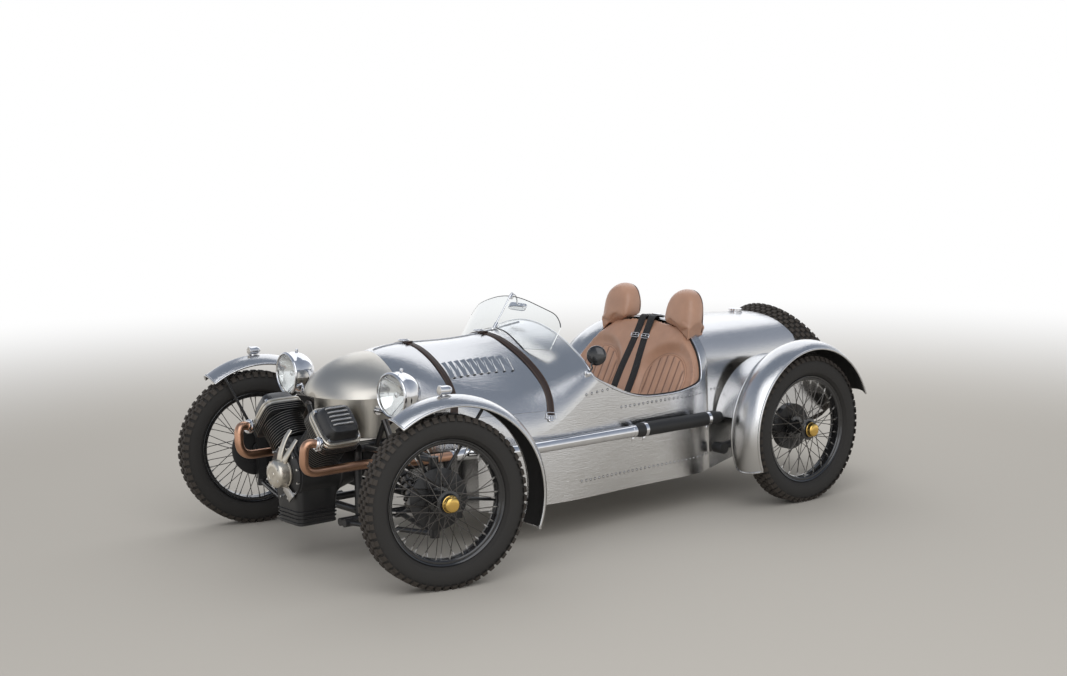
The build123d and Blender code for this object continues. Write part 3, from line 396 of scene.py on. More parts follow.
rubber = plain_metal("tyre_rubber", (0.03, 0.028, 0.026), 0.78, 0.3, 0.0)
tread_rubber = plain_metal("tread_rubber", (0.060, 0.050, 0.042), 0.80, 0.5, 0.0)
tyre_outer, tread_base = 0.350, 0.341
wall_profile = [(0.0235, 0.2365), (0.0272, 0.2375), (0.0275, 0.2560), (0.0345, 0.2585), (0.0400, 0.2620),
                (0.0455, 0.2700), (0.0470, 0.2705), (0.0500, 0.2800), (0.0518, 0.2900), (0.0525, 0.3000),
                (0.0520, 0.3100), (0.0505, 0.3190), (0.0480, 0.3280), (0.0455, 0.3350), (0.0420, 0.3390),
                (0.0350, tread_base), (0.0, tread_base + 0.001)]
tyre_profile = wall_profile + [(-side, radius) for side, radius in wall_profile[-2::-1]]
block_count = 60
block_taper = 0.0016


def tread_block(across, length, top, base):
    """Block whose top is smaller than its foot by the taper on each side."""
    points = []
    for height, share in ((base, 0.0), (top - 0.002, 0.3), (top, 1.0), (top, 40.0)):
        half_across = max(across / 2 - share * block_taper, 0)
        half_length = max(length / 2 - share * block_taper, 0)
        points += [(height, x * half_length, y * half_across) for x, y in ((1, 1), (-1, 1), (-1, -1), (1, -1))]
    return np.array(points), quads(4, 4, False, True)


def tyre_blocks():
    """Four staggered rows of blocks and a lug on each shoulder, copied round the tyre."""
    step = 2 * np.pi / block_count * np.arange(block_count)
    half_step = 0.5 * 2 * np.pi / block_count
    rows = []
    for side, shift, width in ((-0.0335, 0, 0.020), (-0.0110, 1, 0.019), (0.0110, 0, 0.019), (0.0335, 1, 0.020)):
        shape = tread_block(width, 0.0245, tyre_outer, tread_base - 0.003)
        places = np.tile([0, 0, side], (block_count, 1))
        rows.append(repeated(shape, turns_about_z(step + shift * half_step), places))
    for end, shift in ((-1, 0), (1, 1)):
        lean = np.radians(-32 * end)
        tilt = np.array([[np.cos(lean), 0, -np.sin(lean)], [0, 1, 0], [np.sin(lean), 0, np.cos(lean)]])
        shape = moved(tread_block(0.014, 0.0215, 0.0045, -0.012), tilt, (0.3365, 0, 0.0435 * end))
        rows.append(repeated(shape, turns_about_z(step + shift * half_step), np.zeros((block_count, 3))))
    return joined(*rows)


def wheel_frame(name, side):
    """Turn and centre of a wheel whose local Z points outboard, from its joint."""
    outboard = -side * np.array(joints[name]["axis"], float)
    return facing(outboard, (0, 0, 1)), np.array(joints[name]["pos_m"], float)


spare_tilt = math.radians(60)
spare_low, spare_high = (np.array(corner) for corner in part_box("spare_tyre"))
spare_out = np.array([math.sin(spare_tilt), 0, math.cos(spare_tilt)])
wheel_places = [(place, wheel_frame(f"spin_{place}", side), f"wheel_{place}", f"tyre_{place}", f"wheel_{place}")
                for place, side in (("front_left", 1), ("front_right", -1), ("rear_left", 1), ("rear_right", -1))]
spare_frame = (facing(spare_out), (spare_low + spare_high) / 2)
wheel_places.append(("spare", spare_frame, "chassis", "spare_tyre", "spare_wheel"))
for place, (turn, centre), body, tyre, wheel in wheel_places:
    parts = [(moved(turned(tyre_profile, 120), turn, centre), rubber),
             (moved(tyre_blocks(), turn, centre), tread_rubber)]
    make_piece(f"{tyre}_moulded", parts, body, (tyre,), 50)


# Wire wheels: a black rolled rim, forty-eight thin steel spokes laced from two hub flanges
# to bright nipples, a brass cap over the wheel nut, and black brake drums in front.
def unit(vectors):
    """Vectors of length 1 along each of these."""
    return vectors / np.maximum(np.linalg.norm(vectors, axis=-1, keepdims=True), 1e-12)


def bars(starts, ends, radius, sides=6, radius_end=None):
    """Straight round bars between pairs of points, closed at both ends."""
    starts, ends = np.array(starts, float), np.array(ends, float)
    way = unit(ends - starts)
    helper = np.where(np.abs(way[:, 2:]) > 0.9, np.array([[1.0, 0, 0]]), np.array([[0, 0, 1.0]]))
    side = unit(np.cross(way, helper))
    up = np.cross(side, way)
    angle = full_turn(sides)[None, :, None]
    circle = np.cos(angle) * side[:, None, :] + np.sin(angle) * up[:, None, :]
    last = radius if radius_end is None else radius_end
    rings = np.stack([starts[:, None, :] + 0 * circle, starts[:, None, :] + radius * circle,
                      ends[:, None, :] + last * circle, ends[:, None, :] + 0 * circle], 1)
    faces = quads(4, sides, False, True)
    offsets = np.arange(len(starts)) * 4 * sides
    return rings.reshape(-1, 3), (offsets[:, None, None] + faces).reshape(-1, 4)


gloss_black = plain_metal("gloss_black", (0.012, 0.012, 0.013), 0.22, 0.02, 0.0, 0.8)
engine_black = plain_metal("engine_black", (0.02, 0.02, 0.021), 0.42, 0.2, 0.0, 0.2)
spoke_steel = plain_metal("spoke_steel", (0.16, 0.15, 0.14), 0.35, 0.02)
cast_silver = plain_metal("cast_silver", (0.60, 0.58, 0.55), 0.42, 0.25)
brass = plain_metal("brass", (0.86, 0.56, 0.16), 0.22, 0.02)
rim_half, rim_edge = 0.036, 0.2550
rim_front = [(rim_half - 0.001, rim_edge), (rim_half, rim_edge - 0.0015), (rim_half - 0.0010, 0.2515),
             (0.0325, 0.2480), (0.0290, 0.2455), (0.0285, 0.2390), (0.0245, 0.2345), (0.0150, 0.2330),
             (0.0090, 0.2300)]
rim_inside = [(0.0120, 0.2362), (0.0255, 0.2362), (0.0285, rim_edge)]
rim_profile = (rim_front + [(0.0, 0.2290)] + [(-side, radius) for side, radius in rim_front[::-1]]
               + [(-side, radius) for side, radius in rim_inside[::-1]] + [(0.0, 0.2335)] + rim_inside
               + rim_front[:1])
hub_profile = [(-0.046, 0.017), (-0.046, 0.052), (-0.039, 0.052), (-0.036, 0.036), (-0.020, 0.027), (0.012, 0.026),
               (0.030, 0.034), (0.038, 0.040), (0.039, 0.051), (0.045, 0.0515), (0.047, 0.041), (0.052, 0.037),
               (0.058, 0.036)]
cap_profile = [(0.050, 0.0345), (0.056, 0.0355), (0.060, 0.0350), (0.062, 0.0325), (0.075, 0.0315), (0.080, 0.0300),
               (0.084, 0.0250), (0.0855, 0.0160), (0.086, 0.0)]
drum_profile = [(-0.046, 0.030), (-0.046, 0.124), (-0.0465, 0.125), (-0.0525, 0.125), (-0.053, 0.124),
                (-0.053, 0.078), (-0.051, 0.076), (-0.051, 0.030)]
spoke_pairs, spoke_cross, nipple_share = 24, math.radians(42), 0.085


def wheel_spokes():
    """Spokes from each flange to the rim, each crossed forward or back of its rim hole."""
    number = np.arange(spoke_pairs)
    starts, ends = [], []
    for side, shift, foot in ((1, 0.25, 0.046), (-1, -0.25, 0.047)):
        rim_angle = 2 * np.pi / spoke_pairs * (number + shift)
        cross = np.where(number % 2 == 0, 1.0, -1.0) * spoke_cross
        hub_angle = rim_angle + cross
        flange = np.full(spoke_pairs, side * 0.0425) + 0.0025 * np.sign(cross)
        starts.append(np.stack([foot * np.cos(hub_angle), foot * np.sin(hub_angle), flange], 1))
        well = np.full(spoke_pairs, side * 0.010)
        ends.append(np.stack([0.232 * np.cos(rim_angle), 0.232 * np.sin(rim_angle), well], 1))
    return np.concatenate(starts), np.concatenate(ends)


spoke_feet, spoke_heads = wheel_spokes()
nipple_feet = spoke_heads + nipple_share * (spoke_feet - spoke_heads)
for place, (turn, centre), body, tyre, wheel in wheel_places:
    shapes = [(turned(rim_profile, 96), gloss_black), (turned(hub_profile, 40), gloss_black),
              (bars(spoke_feet, spoke_heads, 0.0019), spoke_steel),
              (bars(nipple_feet, spoke_heads, 0.0032, 6, 0.0040), cast_silver), (turned(cap_profile, 48), brass)]
    if place.startswith("front"):
        shapes.append((turned(drum_profile, 64), engine_black))
    parts = [(moved(shape, turn, centre), finish) for shape, finish in shapes]
    make_piece(f"{wheel}_laced", parts, body, (wheel,), 35)


# The engine: two air-cooled iron cylinders at right angles on an aluminium case. Each has
# a turned stack of fins, a square finned head, and a black rocker cover with bright ribs.
crank_height = 0.386
engine_x = float(sum(corner[0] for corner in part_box("cylinders")) / 2)
crank = np.array([engine_x, 0, crank_height])
vee_angle = math.radians(47)
sides = (("near", -1), ("far", 1))


def rounded_box(size, sharpness=0.3, steps=12):
    """Superquadric: each axis is half its size times the signed power of a sine or cosine."""
    down = np.linspace(-np.pi / 2, np.pi / 2, steps // 2 + 1)
    around = full_turn(steps) + np.pi / steps
    power = lambda value: np.sign(value) * np.abs(value) ** sharpness
    flat, wide, tall = power(np.cos(down))[:, None], power(np.cos(around)), power(np.sin(around))
    points = np.stack(np.broadcast_arrays(flat * wide * size[0], flat * tall * size[1],
                                          power(np.sin(down))[:, None] * size[2]), -1) / 2
    return points.reshape(-1, 3), quads(len(down), steps, False, True)


def vee_turn(side):
    """Axes of one cylinder: its own Z leans out to the near side (-1) or the far one (1)."""
    out = np.array([0, side * math.sin(vee_angle), math.cos(vee_angle)])
    return np.stack([[1.0, 0, 0], np.cross(out, [1.0, 0, 0]), out], 1)


def stacked(levels, sharpness=7.0, steps=64):
    """Rounded squares on one axis: radius = half / (|cos a|^n + |sin a|^n)^(1/n) at each (height, half)."""
    height, half = np.array(levels, float).T
    angle = full_turn(steps) + np.pi / steps
    cos, sin = np.cos(angle), np.sin(angle)
    radius = half[:, None] / (np.abs(cos) ** sharpness + np.abs(sin) ** sharpness) ** (1 / sharpness)
    points = np.stack(np.broadcast_arrays(radius * cos, radius * sin, height[:, None]), -1)
    return points.reshape(-1, 3), quads(len(height), steps, False, True)


def fin_middles(low, high, count):
    """Heights of the fins of a stack, in the middle of equal steps."""
    return low + (high - low) / count * (np.arange(count) + 0.5)


def fins(low, high, count, root, reach, thickness):
    """(height, radius) pairs of a stack of fins with rounded tips between two heights."""
    half = thickness / 2
    pairs = [(low, 0.0), (low, root)]
    for middle in fin_middles(low, high, count):
        steps = ((-1.4, root), (-1, reach - 0.002), (-0.5, reach), (0.5, reach), (1, reach - 0.002), (1.4, root))
        pairs += [(middle + share * half, radius) for share, radius in steps]
    return pairs + [(high, root), (high, 0.0)]


def hoop(middle, half, inner, outer):
    """(height, radius) pairs of a flat ring."""
    return [(middle - half, inner), (middle - half, outer), (middle + half, outer), (middle + half, inner)]


head_silver = plain_metal("head_silver", (0.74, 0.69, 0.60), 0.34, 0.2)
fin_edge = plain_metal("fin_edge", (0.34, 0.32, 0.29), 0.40, 0.1)
cover_black = plain_metal("cover_black", (0.018, 0.018, 0.019), 0.34, 0.5, 0.0, 0.3)
barrel, head = (0.128, 0.255, 11), (0.2555, 0.296, 4)
head_levels = [(0.2950, 0.0), (0.2950, 0.0915), (0.2970, 0.0945), (0.3060, 0.0945), (0.3080, 0.0925),
               (0.3085, 0.0870), (0.3100, 0.0870), (0.3105, 0.0910), (0.3125, 0.0930), (0.3200, 0.0930),
               (0.3225, 0.0900), (0.3225, 0.0)]
cover_levels = [(0.3215, 0.0), (0.3215, 0.083), (0.3270, 0.0835), (0.3290, 0.078), (0.3450, 0.074), (0.3600, 0.070),
                (0.3700, 0.064), (0.3740, 0.054), (0.3755, 0.030), (0.3755, 0.0)]
rib_places = [(-0.004, offset, 0.372) for offset in (-0.030, -0.010, 0.010, 0.030, 0.050)]
nut_places = [(across, ahead, 0.3275) for across in (-0.072, 0.072) for ahead in (-0.072, 0.072)]
for name, side in sides:
    shapes = [(turned(fins(*barrel, 0.062, 0.0915, 0.0030), 72), engine_black),
              (stacked(fins(*head, 0.078, 0.0945, 0.0034)), engine_black), (stacked(head_levels, 5.0), head_silver)]
    shapes += [(turned(hoop(middle, 0.0009, 0.0895, 0.0921), 72), fin_edge) for middle in fin_middles(*barrel)]
    shapes += [(stacked(hoop(middle, 0.0010, 0.0920, 0.0951)), fin_edge) for middle in fin_middles(*head)]
    parts = [(moved(shape, vee_turn(side), crank), finish) for shape, finish in shapes]
    make_piece(f"cylinder_{name}", parts, "chassis", ("cylinders",), 30)
    shapes = [(stacked(cover_levels, 5.0), cover_black)]
    shapes += [(moved(rounded_box((0.100, 0.0085, 0.018), 0.35), None, place), cast_silver) for place in rib_places]
    shapes += [(moved(rounded_box((0.013, 0.013, 0.012), 0.5, 8), None, place), chrome) for place in nut_places]
    parts = [(moved(shape, vee_turn(side), crank), finish) for shape, finish in shapes]
    make_piece(f"rocker_cover_{name}", parts, "chassis", ("rocker_covers",), 35)


# The crankcase group: a cast case with its sump, a silvery round cover on the crank's nose
# with two forked prongs and a brace, and a bell housing and gearbox behind.
def smooth_line(points, steps):
    """Catmull-Rom curve: each run is a cubic whose end tangents are half the chords of its neighbours."""
    points = np.array(points, float)
    padded = np.concatenate([2 * points[:1] - points[1:2], points, 2 * points[-1:] - points[-2:-1]])
    before, start, end, after = (padded[shift:len(points) - 1 + shift, None, :] for shift in range(4))
    t = np.linspace(0, 1, steps, endpoint=False)[None, :, None]
    run = 2 * start + (end - before) * t + (2 * before - 5 * start + 4 * end - after) * t**2
    run = 0.5 * (run + (3 * start - before - 3 * end + after) * t**3)
    return np.concatenate([run.reshape(-1, 3), points[-1:]])


def along(path, section, upward=(0, 0, 1), closed=False):
    """A closed section of (side, up) pairs carried along a path, square to it, or one section for
    each point. An open path is closed to a point at both ends."""
    path = np.array(path, float)
    ahead = np.roll(path, -1, 0) - np.roll(path, 1, 0)
    if not closed:
        ahead[0], ahead[-1] = path[1] - path[0], path[-1] - path[-2]
    side = unit(np.cross(unit(ahead), np.array(upward, float)))
    up = np.cross(side, unit(ahead))
    section = np.array(section, float)
    section = np.broadcast_to(section, (len(path),) + section.shape[-2:])
    points = path[:, None, :] + section[..., :1] * side[:, None, :] + section[..., 1:] * up[:, None, :]
    if not closed:
        first, last = np.repeat(path[:1], points.shape[1], 0)[None], np.repeat(path[-1:], points.shape[1], 0)[None]
        points = np.concatenate([first, points, last])
    return points.reshape(-1, 3), quads(points.shape[0], points.shape[1], closed, True)


def ring(radius, sides=10, flat=1.0):
    """Round section: side = radius cos a, up = flat radius sin a."""
    angle = full_turn(sides)
    return np.stack([radius * np.cos(angle), flat * radius * np.sin(angle)], 1)


def bolt_circle(count, radius, start):
    """Places on a circle about the crank, square to it, from a starting angle in degrees."""
    angle = np.radians(np.arange(count) * 360 / count + start)
    return np.stack([np.zeros(count), radius * np.cos(angle), crank_height + radius * np.sin(angle)], 1)


case_front = engine_x - 0.110
case_profile = [(0.0, 0.0), (0.0, 0.104), (0.004, 0.112), (0.012, 0.112), (0.014, 0.118), (0.190, 0.118),
                (0.204, 0.116), (0.208, 0.120), (0.214, 0.120), (0.216, 0.112), (0.330, 0.080), (0.338, 0.070),
                (0.338, 0.0)]
lengthwise, forwards = facing((1.0, 0, 0)), facing((-1.0, 0, 0))
case_parts = [(moved(turned(case_profile, 64), lengthwise, (case_front + 0.002, 0, crank_height)), engine_black)]
sump_levels = [(0.1655, 0.0), (0.1655, 0.086), (0.168, 0.089), (0.1775, 0.089), (0.180, 0.086), (0.187, 0.086),
               (0.189, 0.091), (0.194, 0.091), (0.196, 0.086), (0.203, 0.086), (0.205, 0.092), (0.210, 0.092),
               (0.212, 0.087), (0.219, 0.087), (0.221, 0.093), (0.226, 0.093), (0.228, 0.088), (0.300, 0.094),
               (0.384, 0.097), (0.384, 0.0)]
case_parts.append((moved(stacked(sump_levels, 9.0), np.diag([1.06, 1.0, 1.0]), (engine_x - 0.002, 0, 0)),
                   engine_black))
neck = [(0.020, 0.0), (0.020, 0.070), (0.060, 0.0725), (0.112, 0.0735), (0.114, 0.0745), (0.1235, 0.0745),
        (0.1245, 0.0735), (0.1245, 0.0)]
case_parts += [(moved(stacked(neck), vee_turn(side), crank), engine_black) for name, side in sides]
gearbox_low, gearbox_high, gearbox_height = engine_x + 0.232, float(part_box("engine_case")[1][0]), 0.3895
gearbox_x = (gearbox_low + gearbox_high) / 2
boxes = [(gearbox_x, (gearbox_high - gearbox_low, 0.166, 0.132), 0.22)]
boxes += [(gearbox_x + offset, (0.012, 0.168, 0.134), 0.2) for offset in (-0.12, -0.04, 0.04, 0.12)]
for x, size, sharpness in boxes:
    case_parts.append((moved(rounded_box(size, sharpness, 20), None, (x, 0, gearbox_height)), engine_black))
bolt_ring = bolt_circle(12, 0.108, 15)
case_bolts = bars(bolt_ring + [case_front + 0.004, 0, 0], bolt_ring + [case_front - 0.006, 0, 0], 0.0055, 6, 0.005)
case_parts.append((case_bolts, chrome))
make_piece("engine_case_cast", case_parts, "chassis", ("engine_case",), 35)

cover_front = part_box("front_cover")[1][0]
cover_profile = [(0.0, 0.0), (0.0, 0.0640), (0.006, 0.0645), (0.008, 0.0600), (0.040, 0.0585), (0.050, 0.0560),
                 (0.0565, 0.0490), (0.0590, 0.0380), (0.0590, 0.0300), (0.0575, 0.0290), (0.0575, 0.0120),
                 (0.0597, 0.0110), (0.0597, 0.0)]
nose_ring = bolt_circle(6, 0.045, 30)
plate_x = cover_front - 0.020
prongs = []
for route, wide, tip in (
    ([(0.0, 0.004, 0.425), (0.004, 0.000, 0.470), (0.026, -0.006, 0.530), (0.050, -0.012, 0.566)], 0.019, 0.55),
    ([(0.004, -0.012, 0.425), (0.012, -0.030, 0.458), (0.032, -0.046, 0.500), (0.050, -0.054, 0.530)], 0.017, 0.60),
):
    line = smooth_line(np.array(route) + [plate_x, 0, 0], 8)
    size = np.linspace(1, tip, len(line))[:, None, None]
    prongs.append(along(line, ring(wide, 16, 0.5) * size, (1, 0, 0)))
brace = smooth_line([(plate_x + 0.012, -0.012, 0.326), (plate_x + 0.012, -0.042, 0.308),
                     (plate_x + 0.014, -0.064, 0.284)], 6)
brace_size = np.linspace(0.7, 1.0, len(brace))[:, None, None]
make_piece("front_cover_cast", [
    (moved(turned(cover_profile, 64), forwards, (cover_front, 0, crank_height)), head_silver),
    (bars(nose_ring + [cover_front - 0.050, 0, 0], nose_ring + [cover_front - 0.058, 0, 0], 0.005, 6), chrome),
    (joined(*prongs), head_silver),
    (along(brace, ring(0.026, 16, 0.25) * brace_size, (1, 0, 0)), cast_silver),
], "chassis", ("front_cover",), 35)


# Exhaust: copper-coloured header pipes held by chrome collars, long bright side pipes, and
# black silencers with rolled ends, chrome band clamps and a short tailpipe.
def rounded_route(corners, reaches, steps):
    """Corners joined by parabolas, (1-t)^2 a + 2t(1-t) corner + t^2 b, where a and b stand a
    reach before and after the corner."""
    route = [corners[:1]]
    t = np.linspace(0, 1, steps)[:, None]
    for before, corner, after, reach in zip(corners, corners[1:], corners[2:], reaches):
        a = corner + min(reach, 0.62 * np.linalg.norm(before - corner)) * unit(before - corner)
        b = corner + min(reach, 0.62 * np.linalg.norm(after - corner)) * unit(after - corner)
        route.append((1 - t) ** 2 * a + 2 * t * (1 - t) * corner + t**2 * b)
    return np.concatenate(route + [corners[-1:]])


copper = plain_metal("hot_copper", (0.66, 0.38, 0.25), 0.33, 0.02)
silencer_black = plain_metal("silencer_black", (0.018, 0.018, 0.018), 0.5, 0.12, 0.0)
pipe_side, pipe_height = 0.514, 0.440
header_side, header_height = 0.400, 0.438
silencer_low, silencer_high = (float(corner[0]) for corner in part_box("silencers"))
length = silencer_high - silencer_low
silencer_profile = [(0.0, 0.0), (0.0, 0.0285), (0.012, 0.0285), (0.020, 0.0305), (0.030, 0.0320),
                    (length - 0.045, 0.0320), (length - 0.030, 0.0305), (length - 0.018, 0.0250), (length, 0.0240),
                    (length, 0.0215), (length - 0.030, 0.0210), (length - 0.030, 0.0)]
collar = [(-0.014, 0.0190), (-0.014, 0.0215), (-0.010, 0.0225), (0.010, 0.0225), (0.014, 0.0215), (0.014, 0.0190)]
flange = [(-0.004, 0.0), (-0.004, 0.0300), (0.004, 0.0310), (0.008, 0.0300), (0.010, 0.0240), (0.018, 0.0225),
          (0.018, 0.0)]
bands = ((silencer_low - 0.012, 0.0280), (silencer_low + 0.055, 0.0328), (silencer_high - 0.085, 0.0328))
for name, side in sides:
    silencer = moved(turned(silencer_profile, 48), lengthwise, (silencer_low, side * pipe_side, pipe_height))
    make_piece(f"silencer_{name}", [(silencer, silencer_black)], "chassis", ("silencers",), 35)
    clamps = []
    for x, radius in bands:
        band = turned(hoop(0, 0.009, radius - 0.003, radius), 40)
        lug = (x, side * pipe_side, pipe_height - radius - 0.008)
        clamps.append((moved(band, lengthwise, (x, side * pipe_side, pipe_height)), chrome))
        clamps.append((moved(rounded_box((0.014, 0.008, 0.020), 0.4), None, lug), chrome))
    collar_place = (front_axle_x + 0.300 - 0.006, side * header_side, header_height)
    clamps.append((moved(turned(collar, 32), lengthwise, collar_place), chrome))
    corners = [(-0.285, side * 0.272, 0.545), (-0.345, side * 0.262, 0.560), (-0.352, side * 0.250, 0.427),
               (-0.020, side * 0.250, 0.427), (0.110, side * header_side, 0.440),
               (0.300, side * header_side, header_height)]
    header = rounded_route(np.array(corners) + [front_axle_x, 0, 0], (0.040, 0.072, 0.070, 0.070), 14)
    header_pipe = along(header, ring(0.0190, 28), (0, 0.3, 1))
    make_piece(f"header_{name}", [(header_pipe, copper)], "chassis", ("exhaust_headers",), 50)
    port_way = unit(header[1] - header[0])
    port_side = unit(np.cross([0, 0, 1.0], port_way))
    port_turn = facing(port_way, np.cross(port_way, port_side))
    clamps.append((moved(turned(flange, 36), port_turn, header[0]), chrome))
    make_piece(f"exhaust_clamps_{name}", clamps, "chassis", (), 35)


# Seats: one padded back across the whole cockpit, with a round dished recess and a pleated
# piped oval for each person, two loose cushions, and two domed headrests with piped backs.
# The channels between pleats and along the oval's edge carry painted shade in the leather's colour.
def leather(name, colour, grain):
    """Hide with cloudy tone, fine grain, and painted shade: the creases darken where the point attribute is high."""
    finish = new_finish(name, 0.0, 0.36, 0.25, colour)
    tree = finish.node_tree
    seam = add_node(tree, "ShaderNodeAttribute", {"attribute_name": "seam"}, {}, "Fac")
    cloud = noise(tree, 9.0, 3.0)
    place = add_node(tree, "ShaderNodeTexCoord", {}, {}, "Object")
    pores = add_node(tree, "ShaderNodeTexVoronoi", {}, {"Scale": 420.0, "Vector": place}, "Distance")
    worn = blend_colours(tree, toned(colour, 0.72), colour, (cloud * 1.3 - 0.15).clamped())
    shader_gets(
        finish,
        # Painted shade: the leather darkens to 0.18 of its colour in the creases.
        base=blend_colours(tree, worn, toned(colour, 0.18), (seam * 0.9).clamped()),
        roughness=0.27 + cloud * 0.12 + seam * 0.25,
        normal=bumped(tree, pores * grain + cloud * 0.001, 0.5, 1.0),
    )
    return finish


seat_leather = leather("seat_leather", (0.60, 0.345, 0.235), 0.0010)
piping_leather = leather("piping_leather", (0.12, 0.055, 0.035), 0.0006)


def cad_shape(node, side=0):
    """Points and triangles of a CAD node, or only of its solids on one side of the car."""
    mesh = nodes[node].data
    points = np.empty(3 * len(mesh.vertices), np.float32)
    mesh.vertices.foreach_get("co", points)
    points = points.reshape(-1, 3).astype(float)
    corners = np.empty(len(mesh.loops), np.int32)
    mesh.loops.foreach_get("vertex_index", corners)
    faces = corners.reshape(-1, 3)
    if side:
        faces = faces[points[faces][:, :, 1].mean(1) * side > 0]
        used, faces = np.unique(faces, return_inverse=True)
        points, faces = points[used], faces.reshape(-1, 3)
    return points, faces


def mesh_points(piece):
    """Points of a piece's mesh."""
    points = np.empty(3 * len(piece.data.vertices), np.float32)
    piece.data.vertices.foreach_get("co", points)
    return points.reshape(-1, 3).astype(float)


def put_points(piece, points):
    """Moves the points of a piece's mesh to new places."""
    piece.data.vertices.foreach_set("co", points.astype(np.float32).ravel())
    piece.data.update()


def evened(points, edges, rounds):
    """Each round moves every point half-way to the mean of its neighbours."""
    both = np.concatenate([edges, edges[:, ::-1]])
    count = np.bincount(both[:, 0], minlength=len(points))
    for _ in range(rounds):
        near = [np.bincount(both[:, 0], points[both[:, 1], axis], len(points)) / count for axis in range(3)]
        points = 0.5 * (points + np.stack(near, 1))
    return points


def evened_line(points, rounds=6):
    """A line whose inner points move to the mean of their neighbours."""
    for _ in range(rounds):
        inner = 0.5 * points[1:-1] + 0.25 * (points[:-2] + points[2:])
        points = np.concatenate([points[:1], inner, points[-1:]])
    return points


def baked(piece):
    """Puts the result of the piece's modifiers into its mesh."""
    solid = bpy.data.meshes.new_from_object(piece.evaluated_get(bpy.context.evaluated_depsgraph_get()))
    piece.modifiers.clear()
    piece.data = solid


def padded_piece(name, shape, voxel, rounds, cap, free, shaped, stands_for):
    """Cushion from a closed solid: remeshed, evened, drawn in, then swelled as cloth by air
    inside. A point moves no more than the cap, times how free its place is from 0 to 1."""
    mesh = bpy.data.meshes.new(name)
    mesh.from_pydata(shape[0].tolist(), [], shape[1].tolist())
    cleaned = bmesh.new()
    cleaned.from_mesh(mesh)
    bmesh.ops.remove_doubles(cleaned, verts=cleaned.verts, dist=1e-5)
    cleaned.to_mesh(mesh)
    cleaned.free()
    piece = placed(name, mesh)
    remesh = piece.modifiers.new("remesh", "REMESH")
    remesh.mode = "VOXEL"
    remesh.voxel_size = voxel
    baked(piece)
    start = mesh_points(piece)
    edges = np.empty(2 * len(piece.data.edges), np.int32)
    piece.data.edges.foreach_get("vertices", edges)
    share = free(start)[:, None]
    points = evened(start, edges.reshape(-1, 2), rounds)
    low, high = points.min(0), points.max(0)
    points = start.min(0) + (points - low) / (high - low) * np.ptp(start, 0)
    points = start + share * (points - start)
    put_points(piece, points)
    normals = np.empty(3 * len(points), np.float32)
    piece.data.vertices.foreach_get("normal", normals)
    points = points - drawn_in * normals.reshape(-1, 3)
    put_points(piece, points)
    cloth = piece.modifiers.new("cloth", "CLOTH")
    cloth.settings.use_pressure = True
    cloth.settings.uniform_pressure_force = air_pressure
    cloth.settings.effector_weights.gravity = 0.0
    for number in range(1, cloth_frames + 1):
        bpy.context.scene.frame_set(number)
    baked(piece)
    bpy.context.scene.frame_set(1)
    swell = mesh_points(piece) - points
    length = np.linalg.norm(swell, axis=1, keepdims=True)
    most = cap * (0.15 + 0.85 * share)
    put_points(piece, points + swell * np.minimum(1.0, most / np.maximum(length, 1e-9)))
    finer = piece.modifiers.new("finer", "SUBSURF")
    finer.levels = finer.render_levels = 1
    baked(piece)
    # The second value says how strongly painted shade darkens each point's crease.
    points, seam = shaped(mesh_points(piece))
    put_points(piece, points)
    piece.data.attributes.new("seam", "FLOAT", "POINT").data.foreach_set("value", seam.astype(np.float32))
    piece.data.materials.clear()
    piece.data.materials.append(seat_leather)
    piece.data.shade_smooth()
    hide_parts(stands_for)
    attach(piece, "chassis")
    return piece


def eased(value, low, high):
    """Smooth step from 0 at low to 1 at high."""
    share = np.clip((value - low) / (high - low), 0, 1)
    return share * share * (3 - 2 * share)


drawn_in, air_pressure, cloth_frames = 0.002, 4.0, 20
piping = ring(0.0042, 8)
seat_lean = math.radians(28)
seat_top = np.array([front_axle_x + 1.800, 0, 0.865])
seat_up = np.array([math.sin(seat_lean), 0, math.cos(seat_lean)])
seat_out = np.array([-math.cos(seat_lean), 0, math.sin(seat_lean)])
dish_centre, dish_radius = (0.250, -0.300), 0.190
oval_centre, oval_width, oval_rise, oval_drop, pleat = (0.232, -0.300), 0.130, 0.132, 0.19, 0.0433


def on_seat(points):
    """Across, up and out distances of points from the top of the seat's leaning face."""
    return points[:, 1], (points - seat_top) @ seat_up, (points - seat_top) @ seat_out


def seat_relief(across, up):
    """Height of the finished face: the dish falls 30 mm, and in it the oval's pleats rise as
    half rounds, 9 mm sqrt|cos(pi y / pitch)|, between sewn channels. The second value is the
    share of painted shade in those channels and along the oval's edge."""
    side = np.abs(across)
    dish = np.hypot(side - dish_centre[0], up - dish_centre[1]) / dish_radius
    oval_height = np.where(up > oval_centre[1], oval_rise, oval_drop)
    oval = np.hypot((side - oval_centre[0]) / oval_width, (up - oval_centre[1]) / oval_height)
    inside = 1 - eased(oval, 0.90, 1.0)
    roll = np.abs(np.cos(np.pi * (side - oval_centre[0]) / pleat))
    height = -0.030 * (1 - eased(dish, 0.70, 1.05)) + inside * (0.004 + 0.009 * np.sqrt(roll))
    shade_in_creases = np.maximum(inside * (1 - eased(roll, 0.0, 0.45)), np.exp(-((oval - 1.0) / 0.035) ** 2))
    return height, shade_in_creases


def seat_finished(points):
    """The seat's front face takes the relief and the painted shade of its creases, up to where its edge turns back.
    """
    across, up, out = on_seat(points)
    height, shade_in_creases = seat_relief(across, up)
    front = eased(out, -0.030, -0.012)
    return points + (front * height)[:, None] * seat_out, front * shade_in_creases


def seat_free(points):
    return eased(on_seat(points)[2], -0.035, -0.004)


